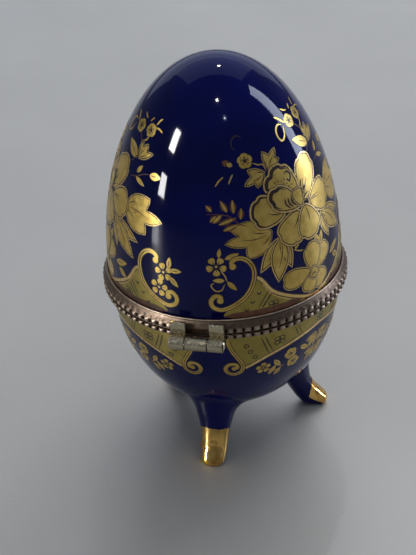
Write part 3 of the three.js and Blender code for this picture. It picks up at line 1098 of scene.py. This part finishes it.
def towards_tip(base, tip):
    """Length and direction in degrees from one (degrees, arc) point to another."""
    across = math.radians(tip[0] - base[0]) * float(radius_at_arc((base[1] + tip[1]) / 2))
    rise = tip[1] - base[1]
    return math.hypot(across, rise), math.degrees(math.atan2(rise, across))


def add_leaf(design, base, tip, width, layer, slot=GOLD_SLOT, vein=True, outline=True):
    """A single pointed leaf between two (degrees, arc) points."""
    length, direction = towards_tip(base, tip)
    shape = turned_by(leaf_outline(length, width), direction)
    design.patch(shape, base, slot, layer)
    if outline:
        design.ribbon(shape, 0.24, base, BROWN_SLOT, layer - 0.4, closed=True)
    if vein:
        u = np.linspace(0.08, 0.72, 7)
        path = np.stack([u * length, np.zeros(7)], -1)
        design.ribbon(turned_by(path, direction), 0.22, base, BROWN_SLOT, layer + 0.6, taper=0.6)


def add_vein(design, base, tip, reach, width, layer):
    """A slightly waved vein part of the way from a base towards a tip."""
    length, direction = towards_tip(base, tip)
    u = np.linspace(0.12, reach, 7)
    path = np.stack([u * length, 0.05 * length * np.sin(5 * u)], -1)
    design.ribbon(turned_by(path, direction), width, base, BROWN_SLOT, layer, taper=0.6)


def add_open_leaf(design, base, main, sides, width, layer):
    """A leaf of three lobes, each drawn whole: the side lobes, then the main one over them."""
    for tip, share in (*((tip, 0.62) for tip in sides), (main, 0.9)):
        length, direction = towards_tip(base, tip)
        shape = turned_by(leaf_outline(length, width * share, points=34), direction)
        design.outlined(shape, base, layer, rim=0.36, line=0.24)
        add_vein(design, base, tip, 0.7, 0.26, layer + 1.8)
        layer += 1


def add_broad_leaf(design, base, main, sides, layer, rim=0.26, swell=0.24):
    """A leaf of three lobes in one outline, with a notch on each side of the main one."""
    tips = list(flattened([sides[0], main, sides[1]], base))
    notches = [0.74 * (tips[0] + tips[1]) / 2, 0.74 * (tips[1] + tips[2]) / 2]
    corners = [np.zeros(2), tips[0], notches[0], tips[1], notches[1], tips[2]]
    turn_sum = sum(a[0] * b[1] - a[1] * b[0] for a, b in zip(corners, [*corners[1:], corners[0]]))
    if turn_sum < 0:
        corners = [corners[0], *reversed(corners[1:])]
    outline = []
    for i, (a, b) in enumerate(zip(corners, [*corners[1:], corners[0]])):
        bulge = swell if i in (0, len(corners) - 1) else 0.1
        side = np.array([b[1] - a[1], a[0] - b[0]]) * bulge
        u = np.linspace(0, 1, 7)[:-1, None]
        outline.append(a + (b - a) * u + side * 4 * u * (1 - u))
    design.outlined(np.concatenate(outline), base, layer, rim=rim, line=0.2)
    for tip, reach in ((main, 0.66), (sides[0], 0.5), (sides[1], 0.5)):
        add_vein(design, base, tip, reach, 0.24, layer + 1.8)


def add_blossom(design, centre, radius, layer, turn=18, apart=0.0):
    """A small flower of five round petals. apart leaves a gap between the petals and the eye."""
    for i in range(5):
        direction = turn + 72 * i
        shape = petal_outline(radius * (1 - apart), radius * (0.98 - 0.9 * apart), 1, 0)
        shape = turned_by(shape + [radius * apart, 0], direction)
        design.ribbon(shape, 0.22, centre, BROWN_SLOT, layer - 0.4, closed=True)
        design.patch(shape, centre, GOLD_SLOT, layer, 0.8)
        if radius > 1.3:
            tick = np.stack([np.linspace(0.35, 0.6, 4) * radius, np.zeros(4)], -1)
            design.ribbon(turned_by(tick, direction), 0.2, centre, BROWN_SLOT, layer + 0.5)
    add_dot(design, centre, radius * 0.26, BROWN_SLOT, layer + 1)
    if apart:
        add_dot(design, centre, radius * 0.12, PALE_SLOT, layer + 1.5)


def circle(radius, steps=16):
    t = np.linspace(0, math.tau, steps, endpoint=False)
    return np.stack([np.cos(t), np.sin(t)], -1) * radius


def add_dot(design, centre, radius, slot, layer):
    design.patch(circle(radius, 10 if radius < 0.3 else 18), centre, slot, layer, 0.8)


def add_ring(design, centre, radius, width, slot, layer):
    design.ribbon(circle(radius, 18), width, centre, slot, layer, closed=True)


def add_peony(design):
    """The big flower: outer petals, then the curled ones over them, then the bud."""
    add_petal(design, (0.5, 27.0), 67, 11.0, 7.2, 3, 2, veins=2)
    add_petal(design, (-2.5, 29.0), 134, 10.0, 9.0, 4, 4, veins=0, rim=0.5, fold=0.75)
    add_petal(design, (3.0, 26.3), -2, 8.4, 8.2, 3, 4, veins=2)
    add_petal(design, (-13.0, 26.6), 165, 8.8, 8.0, 3, 4, veins=1, rim=0.5, fold=0.5)
    add_petal(design, (-5.0, 26.0), -125, 8.6, 8.0, 3, 6, veins=1)
    add_petal(design, (-1.0, 26.5), -82, 8.7, 8.0, 3, 8, veins=1)
    add_petal(design, (-2.0, 26.8), 150, 9.6, 6.4, 3, 8, veins=0, rim=0.5, fold=0.8)
    # The stippled shadow inside the curled petal, and the small curl at its end.
    for row, (s, first) in enumerate(((33.6, -16.0), (32.7, -17.0), (31.9, -16.0))):
        for k in range(6):
            add_dot(design, (first + 2.1 * k, s + 0.15 * (k % 2)), 0.17, BROWN_SLOT, 7)
    design.line(
        [(-9.4, 34.9), (-6.6, 35.2), (-5.0, 34.2), (-6.4, 33.1), (-8.6, 33.6)], 0.42, BROWN_SLOT, 7
    )
    # Shadow strokes fanned over the curled middle petal.
    for shift in (0.0, 2.0, 4.0):
        design.line(
            [(-12.2 + shift, 29.6), (-12.0 + shift, 28.2), (-9.6 + shift, 27.0)],
            0.42,
            BROWN_SLOT,
            11,
            steps=4,
        )
    # The bud, with lines that radiate from it.
    bud = turned_by(petal_outline(4.8, 3.7, 2), 100)
    design.outlined(bud, (-2.4, 26.3), 12, rim=0.3, line=0.24)
    for a0, s0, a1, s1 in (
        (-1.2, 28.2, 3.0, 30.4), (-0.6, 27.6, 4.4, 28.7), (-0.9, 29.0, 1.2, 32.0), (0.2, 26.9, 4.6, 27.0)
    ):
        design.line(
            [(a0, s0), ((a0 + a1) / 2, (s0 + s1) / 2 + 0.2), (a1, s1)], 0.26, BROWN_SLOT, 14, steps=3
        )


def add_bouquet_leaves(design):
    """The leaves that stand out from behind the big flower."""
    add_broad_leaf(design, (-22.0, 23.4), (-45.8, 22.0), [(-43.2, 25.4), (-35.0, 18.0)], 0, rim=0.2)
    add_open_leaf(design, (-18.0, 21.6), (-21.4, 10.7), [(-30.2, 14.1), (-13.6, 13.2)], 5.4, 0)
    add_broad_leaf(design, (19.0, 26.3), (45.6, 25.7), [(37.0, 30.5), (36.0, 21.8)], 0)
    add_open_leaf(design, (10.0, 22.4), (29.0, 14.8), [(31.5, 19.2), (14.5, 15.2)], 5.0, 0)
    add_broad_leaf(design, (-17.6, 36.8), (-9.8, 41.2), [(-19.4, 41.2), (-8.8, 38.6)], 1, swell=0.14)
    add_broad_leaf(design, (-20.3, 36.7), (-33.4, 34.5), [(-30.6, 38.0), (-26.2, 33.6)], 1, swell=0.14)
    add_leaf(design, (20, 38.0), (6.5, 40.8), 2.6, 1)
    add_broad_leaf(design, (21.5, 38.0), (27, 42.0), [(33.4, 40.2), (20.5, 42.4)], 1, swell=0.14)
    add_leaf(design, (-46.2, 18.6), (-39.4, 19.7), 1.2, 1, vein=False)


def add_lower_flower(design):
    """The open flower under the peony, with a scalloped heart."""
    centre = (-0.7, 9.8)
    for towards, length, width, lobes, layer in [
        (178, 9.4, 5.4, 2, 1),
        (38, 8.0, 4.8, 2, 1),
        (-50, 6.2, 5.4, 2, 3),
        (-115, 5.6, 5.2, 2, 5),
        (88, 7.5, 6.2, 3, 7),
    ]:
        add_petal(design, centre, towards, length, width, lobes, layer, veins=0, rim=0.3)
    heart = turned_by(petal_outline(3.6, 3.6, 3, 0.22), -82)
    design.outlined(heart, (-0.9, 11.2), 10, rim=0.28, line=0.26)
    for lean in (-0.5, 0.0, 0.5):
        design.line([(-0.7 + lean, 9.6), (-0.7 + 2.4 * lean, 8.7)], 0.22, BROWN_SLOT, 13, steps=3)
    add_leaf(design, (13.5, 10.9), (23.5, 12.4), 1.7, 1)
    add_leaf(design, (16.5, 10.0), (22.6, 8.4), 1.5, 1)
    add_leaf(design, (5.7, 15.0), (2.2, 18.8), 1.5, 1)
    add_leaf(design, (6.0, 15.4), (8.3, 18.2), 1.4, 1)
    design.line([(-11.8, 17.3), (-8.5, 16.5), (-6, 16.2)], 0.3, GOLD_SLOT, 1)
    add_leaf(design, (-11.0, 17.2), (-7.2, 20.0), 1.1, 1)


def add_bouquet_sprigs(design):
    """The small flowers, buds and leaf sprays round the bouquet."""
    add_blossom(design, (-31.0, 40.0), 1.7, 1)
    design.line([(-26.8, 39.3), (-23.5, 38.6), (-20.6, 38.4), (-19.3, 36.7)], 0.28, GOLD_SLOT, 1)
    design.line(
        [(-30.3, 45.0), (-33.7, 45.7), (-37.2, 45.0), (-37.9, 43.4), (-35.8, 42.5)], 0.26, BROWN_SLOT, 1
    )
    add_leaf(design, (-41.0, 39.7), (-44.6, 40.4), 1.3, 1, slot=RUSSET_SLOT, vein=False)
    add_leaf(design, (-38.9, 39.3), (-42.2, 40.0), 1.0, 2, vein=False)
    design.line([(-49.3, 35.1), (-47, 36.3), (-44.5, 37.1)], 0.34, GOLD_SLOT, 1)
    design.line([(-42.0, 35.4), (-40.5, 36.6), (-39.2, 37.5)], 0.34, GOLD_SLOT, 1)
    for base, tip, width in [
        ((-43.8, 29.3), (-46.9, 32.0), 1.0),
        ((-40.5, 28.9), (-40.7, 32.0), 1.0),
        ((-51.0, 27.0), (-46.2, 29.0), 1.0),
        ((-48.3, 26.6), (-39.3, 27.9), 0.9),
        ((-37.2, 27.4), (-36.5, 30.0), 0.9),
        ((-46.2, 25.2), (-38.5, 26.4), 0.9),
        ((-51.5, 29.6), (-54.5, 31.0), 0.8),
        ((-49.5, 28.6), (-52.5, 27.2), 0.8),
    ]:
        add_leaf(design, base, tip, width + 0.5, 0.6, slot=RUSSET_SLOT, vein=False, outline=False)
        add_leaf(design, base, tip, width - 0.35, 1.4, vein=False, outline=False)
    design.line(
        [(-54.5, 29.0), (-48, 28.9), (-42.5, 28.3), (-38.5, 26.6), (-34, 25.6)], 0.26, RUSSET_SLOT, 2
    )
    for centre, turn in (((12.0, 44.8), 10), ((24.5, 45.0), 40)):
        add_blossom(design, centre, 1.6, 1, turn=turn)
    design.line(
        [(3, 45.0), (-0.5, 45.3), (-3.6, 44.4), (-4.2, 43.0), (-2.4, 41.8), (1, 42.3), (4, 44.5)],
        0.42,
        GOLD_SLOT,
        1,
    )
    design.line([(-0.5, 47.2), (3, 46.3), (6.5, 45.0)], 0.4, GOLD_SLOT, 2)
    for keys in (
        [(10, 48), (13, 47.3), (16, 47)],
        [(20, 46.7), (21.5, 47.4), (23, 47.8)],
        [(28, 46.5), (29.5, 47.6), (31.5, 48.3)],
        [(28.5, 46), (32, 45.9), (35.5, 45.3)],
        [(20.5, 42), (23, 42.5), (25, 43.5)],
    ):
        design.line(keys, 0.4, GOLD_SLOT, 1, steps=3)
    design.line([(13.5, 44), (17.5, 42.6), (20, 41), (19.8, 38.5), (13.5, 36)], 0.26, RUSSET_SLOT, 1)
    design.line([(18, 33.5), (24, 34.2), (29, 35.2), (33.5, 35.7)], 0.26, RUSSET_SLOT, 1)
    add_leaf(design, (34.0, 35.6), (41.8, 35.6), 1.7, 2)
    add_leaf(design, (23.5, 35.0), (27.2, 37.0), 1.1, 1, vein=False)
    add_leaf(design, (23.5, 34.0), (31.5, 32.7), 1.1, 1, vein=False)


def add_left_sprig(design):
    """The drop-petal flower on a stem in the mouth of the border's left scroll."""
    flower = (-50.3, 16.9)
    add_blossom(design, flower, 2.3, 1, turn=54, apart=0.34)
    add_leaf(design, (-49.0, 19.0), (-48.4, 21.2), 0.9, 1, vein=False)
    design.line([(-48.4, 15.9), (-46.6, 14.6), (-45.6, 13.2)], 0.3, GOLD_SLOT, 1)
    design.line(
        [(-46.6, 12.6), (-48.4, 11.0), (-51.2, 10.9), (-53.0, 12.2), (-51.6, 12.9)], 0.3, GOLD_SLOT, 1
    )
    add_leaf(design, (-46.8, 13.4), (-52.2, 13.5), 1.1, 2, vein=False)
    add_leaf(design, (-45.6, 13.1), (-41.4, 10.8), 1.1, 2, vein=False)


def add_right_sprig(design):
    """The two drop-petal flowers and three leaves in the mouth of the border's right scroll."""
    for centre, turn in (((47.0, 14.2), 30), ((44.4, 10.1), 6)):
        add_blossom(design, centre, 2.2, 1, turn=turn, apart=0.34)
    add_leaf(design, (49.6, 15.4), (50.2, 18.2), 1.2, 2)
    add_leaf(design, (50.4, 15.0), (56.2, 15.1), 1.2, 2)
    add_leaf(design, (50.0, 13.4), (54.4, 11.1), 1.2, 2)


def add_lid_border(design):
    """The frame above the band: a low arc under the bouquet, a scroll at each end and a panel between
    them."""
    panel = [
        (-47.0, 3.9), (-46.8, 5.2), (-42.0, 7.2), (-38.4, 8.6), (-35.4, 10.4), (-33.0, 12.6), (-32.2, 13.2)
    ]
    panel += [(-29.4, 12.6), (-24.9, 9.0), (-19.0, 7.1), (-12.0, 5.4), (-5.6, 4.2), (-4.0, 3.4)]
    panel += [(-20, 3.4), (-34, 3.4)]
    design.panel(panel, (-30.0, 8.0))
    arc_keys = [
        (-32.3, 13.4), (-29.6, 12.4), (-25.0, 9.2), (-19.1, 7.15), (-12.1, 5.4), (-5.7, 4.1), (0.0, 3.6)
    ]
    arc_keys += [(-a, s) for a, s in reversed(arc_keys[:-1])]
    design.edged_line(arc_keys, 1.15, 0.72, PALE_SLOT, 2, taper=0.02)
    design.line([(a, s - 0.95) for a, s in arc_keys[1:-1]], 0.2, PALE_SLOT, 2, taper=0.02)
    scroll = [
        (-42.6, 16.6),
        (-43.3, 17.5),
        (-41.6, 18.4),
        (-38.5, 18.5),
        (-35.6, 17.7),
        (-33.6, 16.3),
        (-32.9, 14.6),
    ]
    scroll += [
        (-33.4, 12.8), (-35.0, 10.7), (-37.6, 8.9), (-41.4, 7.4), (-45.6, 6.3), (-49.4, 5.9), (-52.6, 6.7)
    ]
    scroll += [(-53.4, 8.2), (-51.4, 9.5), (-48.9, 9.2), (-48.6, 8.1)]
    design.edged_line(scroll, 1.32, 0.95, GOLD_SLOT, 4, taper=0.08, both=True)
    design.line(scroll[2:13], 0.24, BROWN_SLOT, 6, both=True)
    for flip in (1, -1):
        for a, s in ((-42.7, 16.7), (-49.2, 8.3)):
            add_dot(design, (flip * a, s), 0.9, BROWN_SLOT, 4)
            add_dot(design, (flip * a, s), 0.72, GOLD_SLOT, 5.5)
        for a, s in ((-31.2, 9.3), (-34.5, 7.3), (-37.4, 5.4)):
            add_dot(design, (flip * a, s), 0.52, BROWN_SLOT, 2)
            add_dot(design, (flip * a, s + 0.2), 0.34, OLIVE_SLOT, 3)
        add_outline_flower(design, (flip * -24.4, 5.4), 1.5)
        add_outline_flower(design, (flip * -15.0, 4.5), 0.8)
    design.line([(-25.0, 8.6), (-27.6, 6.8), (-30.4, 5.0)], 0.34, BROWN_SLOT, 2, both=True)
    design.line([(-26.6, 9.4), (-29.2, 7.4), (-32.0, 5.2)], 0.24, BROWN_SLOT, 2, both=True)
    design.line(
        [(-47.0, 4.1), (-36, 4.2), (-22, 4.2), (-9.0, 4.1)], 1.5, RUSSET_SLOT, 7, taper=0.15, both=True
    )


def add_outline_flower(design, centre, size):
    """A small flower of four petals, drawn only in brown line."""
    for i in range(4):
        angle = math.radians(45 + 90 * i)
        t = np.linspace(0, math.tau, 14, endpoint=False)
        loop = np.stack(
            [np.cos(t) * 0.45 + 0.5 * math.cos(angle), np.sin(t) * 0.36 + 0.42 * math.sin(angle)], -1
        )
        design.ribbon(loop * size, 0.22, centre, BROWN_SLOT, 2, closed=True)


def add_bowl_border(design):
    """The frame below the band, its panel and rings, and the volute at each end."""
    lower = [
        (-44.0, -12.2),
        (-38.0, -10.7),
        (-32.0, -9.3),
        (-23.6, -8.0),
        (-15.1, -7.0),
        (-6.7, -6.3),
        (0.0, -6.0),
    ]
    panel = [(-50.6, -1.9), (-51.0, -3.6), (-49.6, -6.2), (-46.6, -8.8), (-44.3, -11.8)]
    panel += [*lower[1:], (2.0, -5.9), (2.0, -1.9), (-24, -1.9)]
    design.panel(panel, (-25.0, -6.0))
    keys = [*lower, *[(-a, s) for a, s in reversed(lower[:-1])]]
    design.edged_line(keys, 1.1, 0.7, PALE_SLOT, 2, taper=0.02)
    volute = [
        (-51.2, -2.2),
        (-51.3, -3.6),
        (-49.6, -6.1),
        (-46.7, -8.7),
        (-44.6, -10.9),
        (-45.2, -12.9),
        (-48.6, -13.9),
    ]
    volute += [
        (-52.0, -13.3), (-53.2, -11.7), (-51.2, -10.4), (-48.0, -10.5), (-47.3, -11.7), (-49.3, -12.1)
    ]
    design.edged_line(volute, 1.2, 0.85, GOLD_SLOT, 4, taper=0.1, both=True)
    design.line(volute[1:9], 0.2, BROWN_SLOT, 6, both=True)
    for flip in (1, -1):
        for a, s in ((-42.7, -5.0), (-40.7, -6.9), (-38.4, -8.8)):
            add_ring(design, (flip * a, s), 0.52, 0.26, BROWN_SLOT, 2)
        add_outline_flower(design, (flip * -25.7, -5.3), 1.7)
        add_dot(design, (flip * -48.9, -11.9), 0.62, GOLD_SLOT, 5.5)
    for shift in (0, 2.2):
        design.line(
            [(-35.5 + shift, -3.0), (-33.6 + shift, -5.6), (-31.2 + shift, -8.6 + shift * 0.2)],
            0.3,
            BROWN_SLOT,
            2,
            both=True,
        )
    design.line([(-17.2, -3.0), (-16.0, -4.6), (-14.3, -6.4)], 0.22, BROWN_SLOT, 2, both=True)
    design.line([(-15.0, -3.0), (-13.8, -4.6), (-12.2, -6.2)], 0.18, BROWN_SLOT, 2, both=True)
    add_outline_flower(design, (0.0, -4.2), 1.4)


def add_bowl_sprigs(design):
    """The small flowers and leaves below the frame."""
    for flip in (1, -1):
        add_blossom(design, (flip * -33.8, -13.2), 1.8, 1, apart=0.3)
        add_leaf(design, (flip * -28.0, -11.4), (flip * -24.0, -14.2), 1.3, 1)
        add_leaf(design, (flip * -27.0, -17.0), (flip * -23.6, -14.8), 1.3, 1)
        add_leaf(design, (flip * -30.4, -16.2), (flip * -26.6, -13.2), 1.2, 1, vein=False)
        add_blossom(design, (flip * -18.5, -11.1), 1.7, 1, turn=40)
        add_blossom(design, (flip * -16.0, -14.3), 1.7, 1, turn=5)
        add_leaf(design, (flip * -12.4, -10.2), (flip * -6.6, -12.2), 1.5, 1)
        for top, sweep in ((-8.6, 0.0), (-13.0, 0.5)):
            sides = [(flip * (sweep - 9.0), top - 0.7), (flip * (sweep - 1.6), top - 4.0)]
            add_broad_leaf(
                design,
                (flip * (sweep - 1.2), top),
                (flip * (sweep - 7.0), top - 3.8),
                sides,
                1,
                swell=0.14,
            )
        design.line(
            [(flip * -31.6, -13.8), (flip * -26.5, -15.2), (flip * -22.0, -14.2)], 0.26, GOLD_SLOT, 1
        )


def add_design(name, body, centres, parts):
    """One design made of its parts and wrapped on the egg at each centre."""
    design = Design()
    for add_part in parts:
        add_part(design)
    design.piece(name, body, centres)


LID_CENTRES = (59.5, -63.5, 178.0)
BOWL_CENTRES = (64.0, -55.0, 185.0)
BOUQUET_PARTS = [add_bouquet_leaves, add_peony, add_lower_flower, add_bouquet_sprigs]
LID_BORDER_PARTS = [add_lid_border, add_left_sprig, add_right_sprig]
add_design("lid_print_flowers", "lid", LID_CENTRES, BOUQUET_PARTS)
add_design("lid_print_border", "lid", LID_CENTRES, LID_BORDER_PARTS)
add_design("bowl_print", "base", BOWL_CENTRES, [add_bowl_border, add_bowl_sprigs])


# ---- Stage, lights and camera ----


def table_surface():
    finish = Finish("pale_table", Roughness=0.36)
    finish.vary("Base Color", 60, 4, (0.3, (0.43, 0.43, 0.42)), (0.7, (0.47, 0.47, 0.46)))
    finish.bump((finish.noise(1.2, 3), 0.05))
    return finish.material


def add_stage():
    """A plain pale table."""
    size = 1.5
    mesh = bpy.data.meshes.new("table")
    corners = [(-size, -size, 0), (size, -size, 0), (size, size, 0), (-size, size, 0)]
    mesh.from_pydata(corners, [], [(0, 1, 2, 3)])
    mesh.materials.append(table_surface())
    table = bpy.data.objects.new("table", mesh)
    bpy.context.scene.collection.objects.link(table)


def add_panel_light(
    name, azimuth, elevation, distance, width, height, brightness, reflected, colour=(1, 1, 1)
):
    """A rectangular light that faces the middle of the box, from a direction in degrees. brightness is
    the radiance of its face. It is either reflected in what shines, or lights what is matt. The camera
    doesn't see it."""
    target = Vector((0, 0, 0.055))
    a, e = math.radians(azimuth), math.radians(elevation)
    towards = Vector((math.cos(a) * math.cos(e), math.sin(a) * math.cos(e), math.sin(e)))
    lamp = bpy.data.lights.new(name, "AREA")
    lamp.shape = "RECTANGLE"
    lamp.size, lamp.size_y = width, height
    lamp.energy = brightness * math.pi * width * height
    lamp.color = colour
    holder = bpy.data.objects.new(name, lamp)
    holder.location = target + towards * distance
    holder.rotation_mode = "QUATERNION"
    holder.rotation_quaternion = towards.to_track_quat("Z", "Y")
    holder.visible_camera = False
    holder.visible_glossy = reflected
    holder.visible_diffuse = not reflected
    bpy.context.scene.collection.objects.link(holder)


def add_world():
    """A dim room for the reflections, and a pale backdrop where the camera looks past the table."""
    world = bpy.data.worlds.new("studio")
    world.use_nodes = True
    tree = world.node_tree
    room = tree.nodes["Background"]
    room.inputs["Color"].default_value = (0.80, 0.87, 1.0, 1)
    room.inputs["Strength"].default_value = 0.17
    backdrop = tree.nodes.new("ShaderNodeBackground")
    backdrop.inputs["Color"].default_value = (0.62, 0.64, 0.65, 1)
    path = tree.nodes.new("ShaderNodeLightPath")
    mix = tree.nodes.new("ShaderNodeMixShader")
    tree.links.new(path.outputs["Is Camera Ray"], mix.inputs["Fac"])
    tree.links.new(room.outputs["Background"], mix.inputs[1])
    tree.links.new(backdrop.outputs["Background"], mix.inputs[2])
    tree.links.new(mix.outputs["Shader"], tree.nodes["World Output"].inputs["Surface"])
    bpy.context.scene.world = world


def add_lights():
    """Windows and room surfaces for the reflections, and two soft lights for what is matt."""
    sky = (0.72, 0.80, 1.0)
    add_panel_light("window_upper", 40, 31, 1.2, 0.16, 0.26, 80, True)
    add_panel_light("window_lower", 39, 9, 1.2, 0.15, 0.19, 45, True)
    add_panel_light("window_below", 38, -9, 0.3, 0.035, 0.07, 8, True)
    add_panel_light("side_strip", 206, 23, 1.2, 0.26, 1.25, 13, True, sky)
    add_panel_light("far_wall", 284, 18, 1.6, 2.4, 0.8, 0.6, True, sky)
    add_panel_light("far_ceiling", 284, 52, 1.6, 2.0, 1.3, 0.55, True, sky)
    add_panel_light("ceiling_near", 108, 72, 1.5, 0.045, 0.045, 400, True)
    add_panel_light("ceiling_far", 275, 56, 1.5, 0.04, 0.04, 500, True)
    add_panel_light("ceiling_small", 119, 55, 1.5, 0.03, 0.04, 120, True, sky)
    add_panel_light("soft_back", 262, 42, 1.6, 1.4, 1.2, 3.1, False)
    add_panel_light("soft_above", 150, 76, 1.6, 1.6, 1.6, 0.9, False)
    add_world()
    bpy.context.scene.view_settings.view_transform = "Standard"


def add_camera():
    """A camera behind the hinge, above the box and tilted down."""
    a = math.radians(CAMERA["azimuth"])
    yaw, pitch, roll = CAMERA["yaw"], CAMERA["pitch"], CAMERA["roll"]
    ahead = Vector((math.sin(yaw) * math.cos(pitch), math.cos(yaw) * math.cos(pitch), -math.sin(pitch)))
    level = Vector((math.cos(yaw), -math.sin(yaw), 0))
    upright = level.cross(ahead)
    right = level * math.cos(roll) + upright * math.sin(roll)
    up = upright * math.cos(roll) - level * math.sin(roll)
    axes = Matrix((right, up, -ahead)).transposed()
    turn = Matrix.Rotation(math.radians(CAMERA["turn"]), 3, "Z")
    lens = bpy.data.cameras.new("camera")
    lens.lens = CAMERA["lens"]
    lens.clip_start, lens.clip_end = 0.01, 10
    camera = bpy.data.objects.new("camera", lens)
    place = Vector(
        (math.cos(a) * CAMERA["distance"], math.sin(a) * CAMERA["distance"], CAMERA["height"])
    ) * MM
    camera.matrix_world = Matrix.Translation(place) @ (turn @ axes).to_4x4()
    bpy.context.scene.collection.objects.link(camera)
    bpy.context.scene.camera = camera


add_stage()
add_lights()
add_camera()
